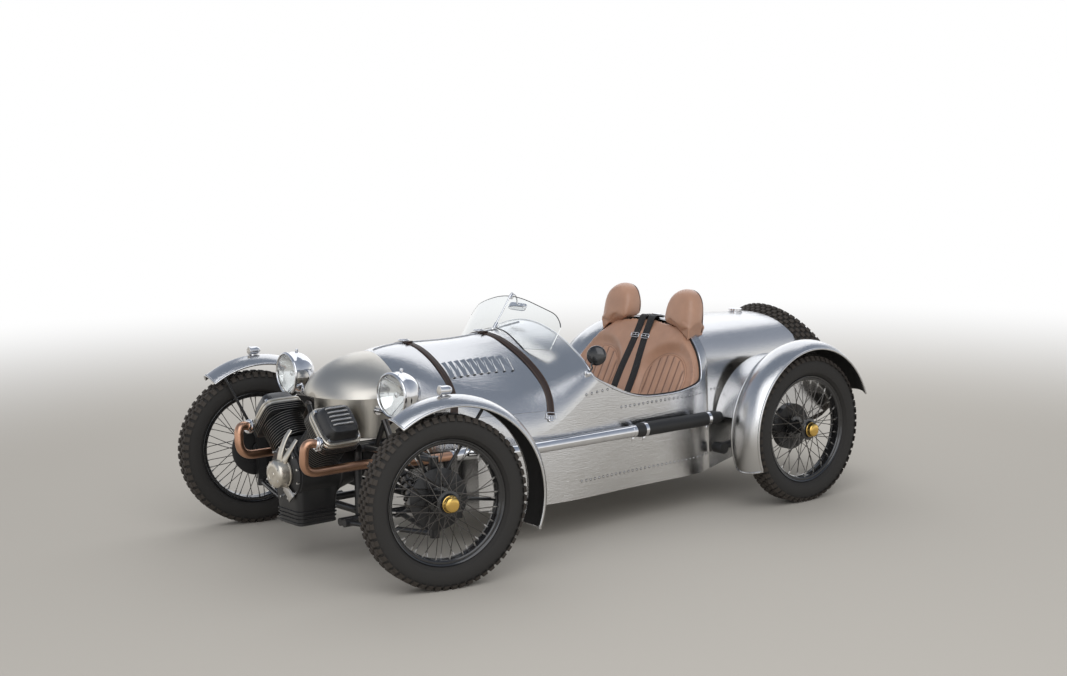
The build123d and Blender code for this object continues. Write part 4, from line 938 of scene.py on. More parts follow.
seat_points, seat_faces = cad_shape("seat_back")
out = on_seat(seat_points)[2]
floor_of_dish = np.abs(out + 0.020) < 0.003
seat_points = seat_points - np.where(floor_of_dish, out, 0.0)[:, None] * seat_out
seat_shape = (seat_points, seat_faces)
padded_piece("seat_back_upholstered", seat_shape, 0.009, 4, 0.007, seat_free, seat_finished, "seat_back")
turn = full_turn(72)
for name, side in sides:
    around = side * (oval_centre[0] + oval_width * np.cos(turn))
    upward = oval_centre[1] + np.sin(turn) * np.where(np.sin(turn) > 0, oval_rise, oval_drop)
    lift = seat_relief(around, upward)[0] + 0.004
    line = seat_top + around[:, None] * [0, 1, 0] + upward[:, None] * seat_up + lift[:, None] * seat_out
    oval_piping = along(line, piping, seat_out, True)
    make_piece(f"seat_piping_{name}", [(oval_piping, seat_leather)], "chassis", (), 60)


cushion_pleat = 0.048
headrest_foot, headrest_centre, headrest_slope = 0.772, 0.885, 0.082


def cushion_finished(points):
    """Pleats run front to back on the cushion's top, in half rounds as on the seat back, with painted shade in the
    grooves between them.
    """
    low, high = points.min(0), points.max(0)
    across = points[:, 1] - (low[1] + high[1]) / 2
    rise = (points[:, 2] - high[2] + 0.03) / 0.03
    ends = np.minimum(points[:, 0] - low[0], high[0] - points[:, 0])
    border = np.minimum(ends, (high[1] - low[1]) / 2 - np.abs(across))
    roll = np.abs(np.cos(np.pi * across / cushion_pleat))
    field = np.clip(rise, 0, 1) * eased(border, 0.045, 0.060)
    shade_in_grooves = field * (1 - eased(roll, 0.0, 0.5))
    points[:, 2] -= 0.007 * field * (1 - np.sqrt(roll))
    return points, shade_in_grooves


def cushion_free(points):
    return eased(points[:, 2], 0.24, 0.30)


def headrest_finished(points):
    """The foot is drawn in: width and depth times 1 - 0.26 s, where s eases from 0 at 0.865 m
    to 1 at 0.765 m."""
    low = points[points[:, 2] < 0.82]
    middle = (low.min(0) + low.max(0))[:2] / 2
    share = 0.26 * (1 - eased(points[:, 2], 0.765, 0.865))
    points[:, :2] = middle + (points[:, :2] - middle) * (1 - share)[:, None]
    return points, np.zeros(len(points))


def headrest_free(points):
    """The foot stays where it meets the tail, and more of it in the middle of each headrest."""
    middle = np.maximum(0.0, 0.10 - np.abs(np.abs(points[:, 1]) - 0.31))
    return eased(points[:, 2] - headrest_foot - 0.55 * middle, 0.0, 0.045)


for name, side in sides:
    cushion = cad_shape("seat_cushion", side)
    padded_piece(f"cushion_{name}", cushion, 0.009, 6, 0.007, cushion_free, cushion_finished, "seat_cushion")
    rest = cad_shape("headrests", side)
    rest_low, rest_high = rest[0].min(0), rest[0].max(0)
    headrest = padded_piece(f"headrest_{name}", rest, 0.006, 110, 0.008, headrest_free, headrest_finished,
                            "headrests")
    skin = mesh_points(headrest)
    back_plane = skin[:, 0] - headrest_slope * (skin[:, 2] - headrest_foot)
    centre = np.array([0, (rest_low[1] + rest_high[1]) / 2, headrest_centre])
    slab = skin[np.abs(back_plane - back_plane.max() + 0.020) < 0.007]
    angle = np.linspace(-0.20, np.pi + 0.20, 44)
    way = np.stack([0 * angle, np.cos(angle), np.sin(angle)], 1)
    rim = slab[np.argmax((slab - centre) @ way.T, 0)]
    keep = np.concatenate([[True], np.linalg.norm(np.diff(rim, axis=0), axis=1) > 0.004])
    back_piping = along(evened_line(rim[keep]), piping, (1, 0, 0))
    make_piece(f"headrest_piping_{name}", [(back_piping, piping_leather)], "chassis", (), 60)


# Body trim: a rolled bright bead and a black edging round the cockpit, a hinge strip down
# the bonnet, and rows of small domed rivets along the sides, each in a dark ring of painted shade.
def skin_tree(*names):
    """Search tree over the triangles of CAD nodes."""
    shapes = [cad_shape(name) for name in names]
    points, faces = joined(*shapes)
    return BVHTree.FromPolygons(points.tolist(), faces.tolist())


def cast(tree, start, way):
    """First point and normal that a ray meets, or None."""
    place, normal = tree.ray_cast(Vector(start), Vector(way))[:2]
    return None if place is None else (np.array(place), np.array(normal))


def cast_line(tree, starts, way):
    """Points and outward normals where parallel rays meet the skin."""
    hits = [cast(tree, start, way) for start in starts]
    hits = [hit for hit in hits if hit is not None]
    return np.array([place for place, normal in hits]), np.array([normal for place, normal in hits])


def spaced(points, gap):
    """Points at even distances along a line."""
    run = np.concatenate([[0], np.cumsum(np.linalg.norm(np.diff(points, axis=0), axis=1))])
    count = max(2, int(round(run[-1] / gap)) + 1)
    places = np.linspace(0, run[-1], count)
    return np.stack([np.interp(places, run, points[:, axis]) for axis in range(3)], 1)


edging = plain_metal("edging", (0.012, 0.012, 0.012), 0.55, 0.1, 0.0)
underseal = plain_metal("underseal", (0.014, 0.013, 0.012), 0.8, 0.5, 0.0)
downward, above, beside = (0, 0, -1), 1.2, 0.9


def station(value):
    """X of a place measured back from the front axle."""
    return front_axle_x + value


hull = skin_tree("body_tub", "tail_shell", "bonnet", "nose_cowl")
tub = skin_tree("body_tub")
across = -np.linspace(0, 0.36, 40)
scuttle_arch, normals = cast_line(tub, [(station(1.029), y, above) for y in across], downward)
side_low = smooth_line([(1.0290, 0, 0.790), (1.0290, 0, 0.735), (1.0360, 0, 0.700), (1.0900, 0, 0.668),
                        (1.1700, 0, 0.628), (1.2600, 0, 0.595), (1.3600, 0, 0.574), (1.4700, 0, 0.568),
                        (1.5800, 0, 0.569), (1.6700, 0, 0.580), (1.7250, 0, 0.592), (1.7450, 0, 0.605),
                        (1.7560, 0, 0.640), (1.7740, 0, 0.710), (1.7920, 0, 0.780)], 8)
side_line, normals = cast_line(tub, [(station(x), -beside, z) for x, y, z in side_low], (0, 1, 0))
arch_foot, arch_height, arch_slope = 1.7440, 0.596, 0.2602
rear_arch = []
for y in across[::-1]:
    height = 0.80
    for step in range(4):
        x = station(arch_foot + arch_slope * (height - arch_height))
        hit = cast(hull, (x, y, above), downward)
        height = float(hit[0][2])
    rear_arch.append(hit[0])
near_rim = np.concatenate([scuttle_arch, side_line, np.array(rear_arch)])
near_rim = evened_line(spaced(near_rim, 0.010), 4)
rim_line = np.concatenate([near_rim, near_rim[-2:0:-1] * [1, -1, 1]])
rim_outward = unit(np.stack([0 * rim_line[:, 0], rim_line[:, 1], rim_line[:, 2] - 0.50], 1))
middle = np.array([station(1.45), 0, 0.9])
inward = unit((middle - rim_line) * [1, 0, 1])
inner_line = rim_line - 0.0065 * rim_outward + 0.004 * inward
bead = along(rim_line, ring(0.0042, 10), rim_outward, True)
edge = along(inner_line, ring(0.0062, 8), rim_outward, True)
make_piece("cockpit_bead", [(bead, chrome)], "chassis", (), 60)
make_piece("cockpit_edging", [(edge, edging)], "chassis", (), 60)

rivet_profile = [(0.0, 0.0048), (0.0014, 0.0044), (0.0026, 0.0028), (0.0031, 0.0)]
# Each rivet stands in a thin black ring of painted shade round its foot; the wing linings share this dark finish as
# underseal.
rivet_foot_shade = turned([(0.0, 0.0064), (0.0005, 0.0062), (0.0006, 0.0)], 10)
rivet = turned(rivet_profile, 8)
rivet_rows = []
rivet_gap = 0.026
for low, high, start, end in ((0.247, 0.247, 0.940, 1.800), (0.627, 0.640, 0.985, 1.180),
                              (0.545, 0.545, 1.200, 1.900)):
    count = int((end - start) / rivet_gap)
    line = list(zip(np.linspace(start, end, count), np.linspace(low, high, count)))
    for side in (-1, 1):
        places, normals = cast_line(hull, [(station(x), side * beside, z) for x, z in line], (0, -side, 0))
        turns = facing(normals, unit(np.cross(normals, [1.0, 0, 0])))
        rivet_rows.append((repeated(rivet, turns, places), polished))
        rivet_rows.append((repeated(rivet_foot_shade, turns, places), underseal))
make_piece("body_rivets", rivet_rows, "chassis", (), 40)

hinge_line, normals = cast_line(hull, [(station(x), 0, above) for x in np.linspace(0.175, 0.985, 60)], downward)
knuckles = (np.arange(60) % 2) * 0.0008
hinge_section = np.array([ring(0.0034 + extra, 8) for extra in knuckles])
hinge = along(hinge_line + [0, 0, 0.0012], hinge_section, (0, 0, 1))
make_piece("bonnet_hinge", [(hinge, polished)], "chassis", (), 60)


# Straps: two brown bridle-leather straps over the bonnet with rolled edges and stitching,
# each drawn tight by a chrome buckle on top and held by a chrome foot on either flank.
def strap_section(width, thickness):
    """Flat strap with eased edges, as (side, up) pairs."""
    edge, half = width / 2, thickness / 2
    inner, lip = edge - 0.4 * thickness, 0.4 * half
    return [(-edge, -lip), (-inner, -half), (inner, -half), (edge, -lip), (edge, lip), (inner, half), (-inner, half),
            (-edge, lip)]


def buckle(wide, long, radius):
    """Rounded rectangular frame with a middle bar and a tongue, lying in XY."""
    turn = full_turn(40)
    power = lambda value: np.sign(value) * np.abs(value) ** 0.35
    line = np.stack([wide / 2 * power(np.cos(turn)), long / 2 * power(np.sin(turn)), 0 * turn], 1)
    bar = bars([(-wide / 2, 0, 0)], [(wide / 2, 0, 0)], radius * 0.8, 8)
    tongue = bars([(0, 0, radius * 0.6)], [(0, long / 2 + radius, radius * 1.3)], radius * 0.7, 8)
    return joined(along(line, ring(radius, 8), (0, 0, 1), True), bar, tongue)


dark_leather = plain_metal("dark_leather", (0.035, 0.018, 0.013), 0.5, 0.3, 0.0)
strap_thread = plain_metal("strap_thread", (0.16, 0.10, 0.07), 0.6, 0.1, 0.0)
bonnet_axis = 0.50
strap_points = cad_shape("bonnet_straps")[0]
for name, first, last in (("front", 0.0, 0.58), ("rear", 0.58, 1.2)):
    chosen = strap_points[(strap_points[:, 0] > station(first)) & (strap_points[:, 0] < station(last))]
    angle = np.arctan2(chosen[:, 1], chosen[:, 2] - bonnet_axis)
    limit = np.abs(angle).max()
    centres = []
    for middle in np.linspace(0, limit - 0.012, 26):
        near = chosen[np.abs(np.abs(angle) - middle) < 0.035]
        x = (near[:, 0].min() + near[:, 0].max()) / 2
        start = (x, -above * math.sin(middle), bonnet_axis + above * math.cos(middle))
        centres.append(np.concatenate(cast(hull, start, (0, math.sin(middle), -math.cos(middle)))))
    flank = evened_line(np.array(centres), 10)
    flank = np.concatenate([flank[:0:-1], flank * [1, -1, 1, 1, -1, 1]])
    line, outward = flank[:, :3], unit(flank[:, 3:])
    parts = [(along(line + 0.0044 * outward, strap_section(0.034, 0.0050), outward), dark_leather)]
    ahead = unit(np.gradient(line, axis=0))
    for edge in (-0.0125, 0.0125):
        stitch = line + 0.0071 * outward + edge * np.cross(ahead, outward)
        parts.append((along(stitch, ring(0.0007, 5), outward), strap_thread))
    top = line[len(line) // 2]
    turn = np.array([[0, 1.0, 0], [1.0, 0, 0], [0, 0, 1.0]]).T
    parts.append((moved(buckle(0.044, 0.034, 0.0024), turn, top + [0, 0.012, 0.0105]), chrome))
    parts.append((moved(rounded_box((0.037, 0.010, 0.008), 0.5), None, top + [0, -0.030, 0.0065]), dark_leather))
    for end in (0, -1):
        away = unit(line[end] - line[1 if end == 0 else -2])
        place = line[end] + 0.004 * outward[end]
        foot_turn = np.stack([unit(np.cross(away, outward[end])), away, outward[end]], 1)
        parts.append((moved(buckle(0.044, 0.030, 0.0022), foot_turn, place + 0.006 * away + 0.0035 * outward[end]),
                      chrome))
        parts.append((moved(rounded_box((0.026, 0.034, 0.004), 0.5), foot_turn,
                            place + 0.016 * away - 0.001 * outward[end]), chrome))
    make_piece(f"bonnet_strap_{name}", parts, "chassis", ("bonnet_straps",), 50)


# Belts: a pair of flat black webbing straps down the middle of the seat back, joined by a
# chrome clip at the top edge, each with a sliding chrome adjuster.
def webbing_cloth(name):
    """Woven nylon: fine ribs across the strap."""
    finish = new_finish(name, 0.0, 0.62, 0.0, (0.02, 0.02, 0.021))
    tree = finish.node_tree
    bands = {"wave_type": "BANDS", "bands_direction": "Z"}
    weave = add_node(tree, "ShaderNodeTexWave", bands, {"Scale": 160.0, "Distortion": 0.4}, "Fac")
    cloud = noise(tree, 18.0, 3.0)
    tone = (weave * 0.5 + cloud * 0.5).clamped()
    shader_gets(
        finish,
        base=blend_colours(tree, (0.012, 0.012, 0.013), (0.040, 0.040, 0.042), tone),
        roughness=0.50 + weave * 0.2,
        normal=bumped(tree, weave * 0.0006, 0.8, 1.0),
    )
    return finish


belt_cloth = webbing_cloth("belt_cloth")
parts = []
rear_edge = cast(hull, (station(1.850), 0, above), downward)[0]
for side in (-1, 1):
    drop = np.array([-0.430, -0.36, -0.30, -0.24, -0.16, -0.08, -0.035, -0.010])
    spread = side * (0.031 + 0.020 * eased(-drop, 0.05, 0.34))
    relief = np.maximum(seat_relief(spread, drop)[0], -0.004) + 0.0055
    line = seat_top + drop[:, None] * seat_up + spread[:, None] * [0, 1, 0] + relief[:, None] * seat_out
    crown = rear_edge + [[-0.045, side * 0.030, 0.0065], [-0.020, side * 0.029, 0.0045],
                         [0.004, side * 0.028, 0.0042]]
    line = smooth_line(np.concatenate([line, crown]), 6)
    out = np.where(line[:, 2:] < 0.86, seat_out, [0, 0, 1.0])
    out = unit(evened_line(out.astype(float), 12))
    parts.append((along(line, strap_section(0.046, 0.0028), out), belt_cloth))
    slide = seat_top - 0.105 * seat_up + side * 0.036 * np.array([0, 1, 0]) + 0.0085 * seat_out
    frame_turn = np.stack([[0, 1.0, 0], seat_up, np.cross([0, 1.0, 0], seat_up)], 1)
    parts.append((moved(buckle(0.052, 0.022, 0.0020), frame_turn, slide), chrome))
clip = rear_edge + [0.006, 0, 0.006]
parts.append((moved(rounded_box((0.022, 0.060, 0.012), 0.4), None, clip), chrome))
parts.append((moved(rounded_box((0.034, 0.112, 0.0035), 0.4), None, clip + [0.002, 0, -0.0045]), satin_black))
make_piece("seat_belts_webbing", parts, "chassis", ("seat_belts",), 50)


# Wings: rolled sheet over each wheel, its edges wired into a round bright bead, the inside
# painted with dark underseal. Front wings ride on the knuckles, rear wings on the body.
def wing_path(frame_axes, centre, angles, reach, side):
    """Points at angles about the wheel: centre + reach (cos a back + sin a up) + side across."""
    back, across, up = frame_axes
    return centre + reach * (np.cos(angles)[:, None] * back + np.sin(angles)[:, None] * up) + side * across


def wing_trim(name, frame_axes, centre, angles, half, body):
    """Bead round the wing's edge, and a lining 1 mm inside its sheet."""
    crown, drop, thickness = wing_crown, 0.036, 0.0014
    sag = lambda side: crown - drop * (side / half) ** 2
    ends = np.linspace(-half, half, 14)
    start, stop = angles[:1], angles[-1:]
    loop = np.concatenate([
        wing_path(frame_axes, centre, angles, sag(half), half),
        np.concatenate([wing_path(frame_axes, centre, stop, sag(side), side) for side in ends[-2:0:-1]]),
        wing_path(frame_axes, centre, angles[::-1], sag(half), -half),
        np.concatenate([wing_path(frame_axes, centre, start, sag(side), side) for side in ends[1:-1]]),
    ])
    edge_up = frame_axes[1] + 0.3 * frame_axes[2]
    bead = along(loop, ring(0.0052, 10), edge_up, True)
    make_piece(f"{name}_bead", [(bead, polished)], body, (), 60)
    across = np.linspace(-half + 0.004, half - 0.004, 14)
    sheets = []
    for depth in (0.0052, 0.0052 + thickness):
        lines = [wing_path(frame_axes, centre, angles, sag(side) - depth, side) for side in across]
        sheets.append(np.concatenate(lines))
    sheet_faces = quads(14, len(angles))
    lining = np.concatenate(sheets), np.concatenate([sheet_faces, sheet_faces[:, ::-1] + len(sheets[0])])
    make_piece(f"{name}_lining", [(lining, underseal)], body, (), 60)


frosted_glass = new_finish("frosted_glass", 0.0, 0.25, 0.2, (0.90, 0.86, 0.80))
frosted_glass.node_tree.nodes["Principled BSDF"].inputs["Transmission Weight"].default_value = 0.45
wing_crown, upright = 0.425, np.array([0, 0, 1.0])
lamp_bowl = [(-0.0385, 0.0), (-0.0375, 0.006), (-0.033, 0.0118), (-0.026, 0.0160), (-0.017, 0.0184), (0.010, 0.0188),
             (0.0125, 0.0205), (0.0165, 0.0208), (0.0175, 0.0190), (0.0175, 0.0170)]
lamp_stem = [(-0.024, 0.0), (-0.024, 0.0105), (-0.012, 0.0080), (-0.004, 0.0075), (-0.004, 0.0)]
lamp_glass = [(0.0165, 0.0), (0.0165, 0.0172), (0.0205, 0.0150), (0.0240, 0.0100), (0.0255, 0.0)]
front_sweep, rear_sweep = (np.radians(np.linspace(*reach)) for reach in ((125.4, -21.4, 90), (202.4, 20.6, 110)))
for name, side, hand in (("near", -1, "left"), ("far", 1, "right")):
    turn, centre = wheel_frame(f"spin_front_{hand}", -side)
    across_way = side * turn[:, 2]
    back_way = np.cross(across_way, upright)
    wing_axes = (back_way, across_way, upright)
    wing_trim(f"wing_front_{name}", wing_axes, centre + 0.028 * back_way, front_sweep, 0.070, f"knuckle_{hand}")
    lamp_turn = np.stack([across_way, np.cross(-back_way, across_way), -back_way], 1)
    lamp_seat = centre + 0.005 * back_way + [0, 0, 0.422 + 0.022]
    make_piece(f"side_lamp_{name}", [
        (moved(turned(lamp_bowl, 28), lamp_turn, lamp_seat), chrome),
        (moved(turned(lamp_stem, 20), None, lamp_seat), chrome),
        (moved(turned(lamp_glass, 28), lamp_turn, lamp_seat), frosted_glass),
    ], f"knuckle_{hand}", (), 40)
for name, side in sides:
    rear_hub = np.array([station(2.190), side * 0.650, 0.350])
    wing_trim(f"wing_rear_{name}", np.eye(3), rear_hub, rear_sweep, 0.085, "chassis")


# Headlamps: spun chrome bowls on short posts, with a silvered reflector, a shielded bulb,
# and a domed glass whose inner face is moulded in upright flutes.
def fluted_lens(radius, seat, rise, rings=22, steps=96):
    """Lens closed over two faces: the outer is a dome, rise (1 - (r/R)^2); the inner follows
    it 3 mm behind and waves 0.5 mm cos(2 pi y / 9 mm) across the lamp."""
    flute, glass_thickness, wave = 0.009, 0.003, 0.0005
    reach = np.linspace(0, 1, rings) * radius
    angle = full_turn(steps)
    wide, tall = reach[:, None] * np.cos(angle), reach[:, None] * np.sin(angle)
    dome = np.broadcast_to((seat + rise * (1 - (reach / radius) ** 2))[:, None], wide.shape)
    fade = (1 - (reach / radius) ** 6)[:, None]
    inner = dome - glass_thickness - wave * fade * np.cos(2 * np.pi * wide / flute)
    outer_face = np.stack([wide, tall, dome], -1)
    inner_face = np.stack([wide, tall, inner], -1)[::-1]
    return np.concatenate([outer_face, inner_face]).reshape(-1, 3), quads(2 * rings, steps, False, True)


mirror_silver = plain_metal("mirror_silver", (0.93, 0.93, 0.94), 0.03, 0.0)
clear_glass = new_finish("clear_glass", 0.0, 0.02, 0.0, (0.95, 0.97, 0.97))
for socket, value in (("Transmission Weight", 1.0), ("IOR", 1.45)):
    clear_glass.node_tree.nodes["Principled BSDF"].inputs[socket].default_value = value
reflector_rim = 0.084
reflector_line = [(0.026 - 0.062 * (1 - (radius / reflector_rim) ** 2),
                   radius) for radius in np.linspace(0.0, reflector_rim, 18)]
bowl_line = [(0.0300, 0.0840), (0.0370, 0.0852), (0.0400, 0.0885), (0.0385, 0.0930), (0.0340, 0.0958),
             (0.0290, 0.0955), (0.0265, 0.0938), (0.0060, 0.0946)]
bowl_back = np.linspace(0.12, math.pi / 2 - 0.02, 16)
bowl_line += [(0.006 - 0.097 * math.sin(turn), 0.0946 * math.cos(turn) ** 0.85) for turn in bowl_back]
bowl_line.append((-0.0915, 0.0))
bulb_line = [(-0.036, 0.0), (-0.036, 0.010), (-0.020, 0.009), (-0.018, 0.0065), (-0.002, 0.0065), (0.004, 0.0045),
             (0.006, 0.0)]
shield_line = [(0.002, 0.0), (0.002, 0.0125), (0.010, 0.0120), (0.013, 0.0080), (0.014, 0.0)]
post_x, post_side, post_height = station(0.040), 0.400, 0.640
for name, side in sides:
    out = math.radians(-4 * side)
    aim = np.array([-math.cos(out), -math.sin(out), 0.0])
    lamp_turn = facing(aim, (0, 0, 1.0))
    place = np.array([station(0.020), side * post_side, 0.730])
    skin = abs(float(cast(hull, (post_x, side * beside, post_height), (0, -side, 0))[0][1])) + 0.0005
    post = np.array([post_x, side * post_side, post_height])
    flank = np.array([post_x, side * skin, post_height])
    make_piece(f"headlamp_{name}", [
        (moved(turned(bowl_line, 72), lamp_turn, place), chrome),
        (moved(turned(reflector_line, 64), lamp_turn, place), mirror_silver),
        (moved(turned(bulb_line, 24), lamp_turn, place), frosted_glass),
        (moved(turned(shield_line, 24), lamp_turn, place), chrome),
        (bars([post], [post + [0, 0, 0.008]], 0.0150, 20), chrome),
        (bars([post - [0, 0, 0.010]], [post + [0, 0, 0.015]], 0.0105, 20), chrome),
        (bars([post], [flank], 0.0092, 20), chrome),
        (bars([flank + [0, side * 0.0095, 0]], [flank], 0.0190, 28), chrome),
        (moved(rounded_box((0.012, 0.012, 0.016), 0.45), None, place + [0.020, 0, 0.0985]), chrome),
    ], "chassis", ("headlamp_shells",), 40)
    lens = moved(fluted_lens(0.0852, 0.0370, 0.0150), lamp_turn, place)
    make_piece(f"headlamp_glass_{name}", [(lens, clear_glass)], "chassis", ("headlamp_lenses",), 40)


# Screen and mirrors: the clear screen has a polished edge and a chrome centre stay with a
# square clamp at each end; the mirrors are a small boxed one and a round one on a stalk.
screen_lean, screen_foot, screen_foot_height = math.radians(34), 0.800, 0.820


def screen_at(height, ahead):
    """Place on the screen's centre line at a height, some way in front of its face."""
    x = station(screen_foot + (height - screen_foot_height) * math.tan(screen_lean)) - ahead * math.cos(screen_lean)
    return np.array([x, 0, height + ahead * math.sin(screen_lean)])


def screen_box(size, height, ahead, sharpness=0.35, steps=12):
    """Block that lies on the screen at a height."""
    return moved(rounded_box(size, sharpness, steps), screen_turn, screen_at(height, ahead))


screen_turn = facing((math.cos(screen_lean), 0, -math.sin(screen_lean)),
                     (math.sin(screen_lean), 0, math.cos(screen_lean)))
foot = cast(hull, (station(0.842), 0, above), downward)[0]
stay_heights = ((0.893, 0.010), (0.960, 0.0065), (1.034, 0.0065), (1.0425, -0.004), (1.040, -0.030), (1.020, -0.052))
stay_line = smooth_line([foot + [0, 0, 0.002]] + [screen_at(height, ahead) for height, ahead in stay_heights], 8)
make_piece("screen_stay", [
    (along(stay_line, ring(0.0036, 12), (0, 1, 0)), chrome),
    (screen_box((0.026, 0.030, 0.010), 0.902, 0.0055), chrome),
    (screen_box((0.024, 0.024, 0.016), 1.030, -0.002), chrome),
    (moved(rounded_box((0.046, 0.024, 0.006), 0.4), None, foot + [0, 0, 0.002]), chrome),
    (screen_box((0.118, 0.038, 0.012), 1.013, -0.060, 0.35, 20), chrome),
    (screen_box((0.112, 0.032, 0.004), 1.013, -0.0665, 0.35, 20), mirror_silver),
], "chassis", ("screen_fittings",), 40)

# The screen's top edge falls to its sides: by 42 mm at 325 mm out, with the distance squared.
glass_points, glass_faces = cad_shape("windscreen")
fall = 0.042 * (np.abs(glass_points[:, 1]) / 0.325) ** 2 * np.clip((glass_points[:, 2] - 0.860) / 0.12, 0, 1)
glass_points = glass_points - fall[:, None] * [math.tan(screen_lean), 0, 1]
glass = BVHTree.FromPolygons(glass_points.tolist(), glass_faces.tolist())
glass_top = []
screen_bend, bend_centre = 0.6, 0.8025
for y in np.linspace(-0.3235, 0.3235, 90):
    ahead = screen_bend - math.sqrt(screen_bend**2 - y * y)
    start = (station(bend_centre + 0.28 * math.tan(screen_lean) + ahead), y, 1.10)
    hit = cast(glass, start, (-math.sin(screen_lean), 0, -math.cos(screen_lean)))
    if hit is not None:
        glass_top.append(hit[0])
make_piece("windscreen_curved", [((glass_points, glass_faces), clear_glass)], "chassis",
           ("windscreen",), 30)
glass_edge = along(evened_line(spaced(np.array(glass_top), 0.008), 3), ring(0.0022, 8), (1, 0, 0))
make_piece("windscreen_edge", [(glass_edge, spoke_steel)], "chassis", (), 60)

round_aim = unit(np.array([-0.80, -0.58, 0.10]))
round_side = unit(np.cross([0, 0, 1.0], round_aim))
round_turn = facing(round_aim, np.cross(round_aim, round_side))
round_place = np.array([station(1.068), -0.440, 0.790])
clamp = cast(hull, (station(1.012), -beside, 0.716), (0, 1, 0))[0]
mirror_back = [(-0.0085, 0.0), (-0.0085, 0.0415), (-0.0075, 0.0445), (-0.0040, 0.0450), (0.0010, 0.0425),
               (0.0060, 0.0340), (0.0090, 0.0200), (0.0100, 0.0)]
stalk = smooth_line([clamp + [0, -0.012, 0.004], clamp + [0.018, -0.012, 0.022],
                     round_place + [-0.018, 0.010, -0.040], round_place - 0.004 * round_aim], 8)
make_piece("side_mirror_round", [
    (moved(turned(mirror_back, 40), round_turn, round_place), gloss_black),
    (moved(turned([(-0.0095, 0.0), (-0.0095, 0.0405), (-0.0080, 0.0405), (-0.0080, 0.0)], 40), round_turn,
           round_place), mirror_silver),
    (along(stalk, ring(0.0042, 10), (0, 0, 1)), gloss_black),
    (moved(rounded_box((0.026, 0.018, 0.022), 0.6, 16), None, clamp + [0, -0.009, 0]), chrome),
    (moved(rounded_box((0.034, 0.006, 0.030), 0.5, 16), None, clamp + [0, -0.002, 0]), chrome),
], "chassis", ("side_mirror",), 40)


# Small fittings: a knurled chrome filler cap, round tail lamps, pressed louvres in the bonnet
# whose open lower ends are black blocks of painted shade, and the coil springs over the front dampers.
red_glass = plain_metal("red_glass", (0.45, 0.01, 0.01), 0.08, 0.0, 0.0, 1.0)
mouth_black = plain_metal("mouth_black", (0.006, 0.006, 0.006), 0.9, 0.0, 0.0)
knurl_steps = 144
knurl_turn = full_turn(knurl_steps)
knurl = 1 + 0.035 * np.maximum(0, np.cos(18 * knurl_turn)) ** 0.5
cap_levels = [(-0.008, 0.0, 0), (-0.008, 0.036, 0), (0.002, 0.036, 0), (0.004, 0.029, 0), (0.006, 0.029, 0),
              (0.0065, 0.0335, 1), (0.0160, 0.0335, 1), (0.0180, 0.0300, 0.5), (0.0200, 0.0220, 0), (0.0205, 0.0, 0)]
cap_radius = np.array([radius * (1 + grip * (knurl - 1)) for level, radius, grip in cap_levels])
cap_height = np.array([level for level, radius, grip in cap_levels])[:, None] + 0 * knurl
cap_points = np.stack([cap_radius * np.cos(knurl_turn), cap_radius * np.sin(knurl_turn), cap_height],
                      -1).reshape(-1, 3)
cap_shape = (cap_points, quads(len(cap_levels), knurl_steps, False, True))
cap_seat, cap_way = cast(hull, (station(2.404), 0, above), downward)
cap = moved(cap_shape, facing(unit(cap_way)), cap_seat)
make_piece("fuel_cap_knurled", [(cap, chrome)], "chassis", ("fuel_cap",), 30)

tail_lamp_angle = math.radians(34)
tail_way = np.array([math.cos(tail_lamp_angle), 0, math.sin(tail_lamp_angle)])
tail_bezel = [(-0.004, 0.0), (-0.004, 0.0262), (0.010, 0.0262), (0.014, 0.0250), (0.0145, 0.0225), (0.012, 0.0215),
              (0.012, 0.0)]
tail_dome = [(0.011, 0.0), (0.011, 0.0218), (0.016, 0.0200), (0.020, 0.0150), (0.0225, 0.0075), (0.023, 0.0)]
for name, side in sides:
    place = np.array([station(2.190), side * 0.650, 0.350]) + wing_crown * tail_way
    make_piece(f"tail_lamp_{name}", [
        (moved(turned(tail_bezel, 36), facing(tail_way), place), chrome),
        (moved(turned(tail_dome, 36), facing(tail_way), place), red_glass),
    ], "chassis", ("tail_lamps",), 40)

louvre_parts, louvre_count, louvre_gap = [], 9, 0.0385
rib_share = np.linspace(0, 1, 15)
rib_size = np.sqrt(np.clip(1 - (1 - np.minimum(1, rib_share / 0.3)) ** 2, 0, 1)) * (0.55 + 0.45 * rib_share)
rib_side = np.linspace(-1, 1, 9)
rib_top = np.stack([0.0095 * rib_side, 0.0075 * (1 - rib_side**2) ** 0.6], 1)
rib_shape = np.concatenate([rib_top, [[0.0095, -0.002], [-0.0095, -0.002]]])
rib_sections = np.maximum(rib_size, 0.02)[:, None, None] * rib_shape
for number in range(louvre_count):
    for side in (-1, 1):
        stations = station(0.434 + louvre_gap * number - 0.021 * rib_share)
        starts = [(x, side * beside, 0.797 - 0.057 * share) for x, share in zip(stations, rib_share)]
        places, normals = cast_line(hull, starts, (0, -side, 0))
        places = places - 0.0035 * normals
        louvre_parts.append((along(places, rib_sections, evened_line(normals)), polished))
        # A black block of painted shade stands in the louvre's open lower end.
        mouth = rounded_box((0.0170, 0.0040, 0.0085), 0.8, 12)
        mouth_turn = facing(normals[-1], unit(np.cross(normals[-1], [1.0, 0, 0])))
        louvre_parts.append((moved(mouth, mouth_turn, places[-1] + 0.0040 * normals[-1]), mouth_black))
make_piece("bonnet_louvres", louvre_parts, "chassis", (), 50)

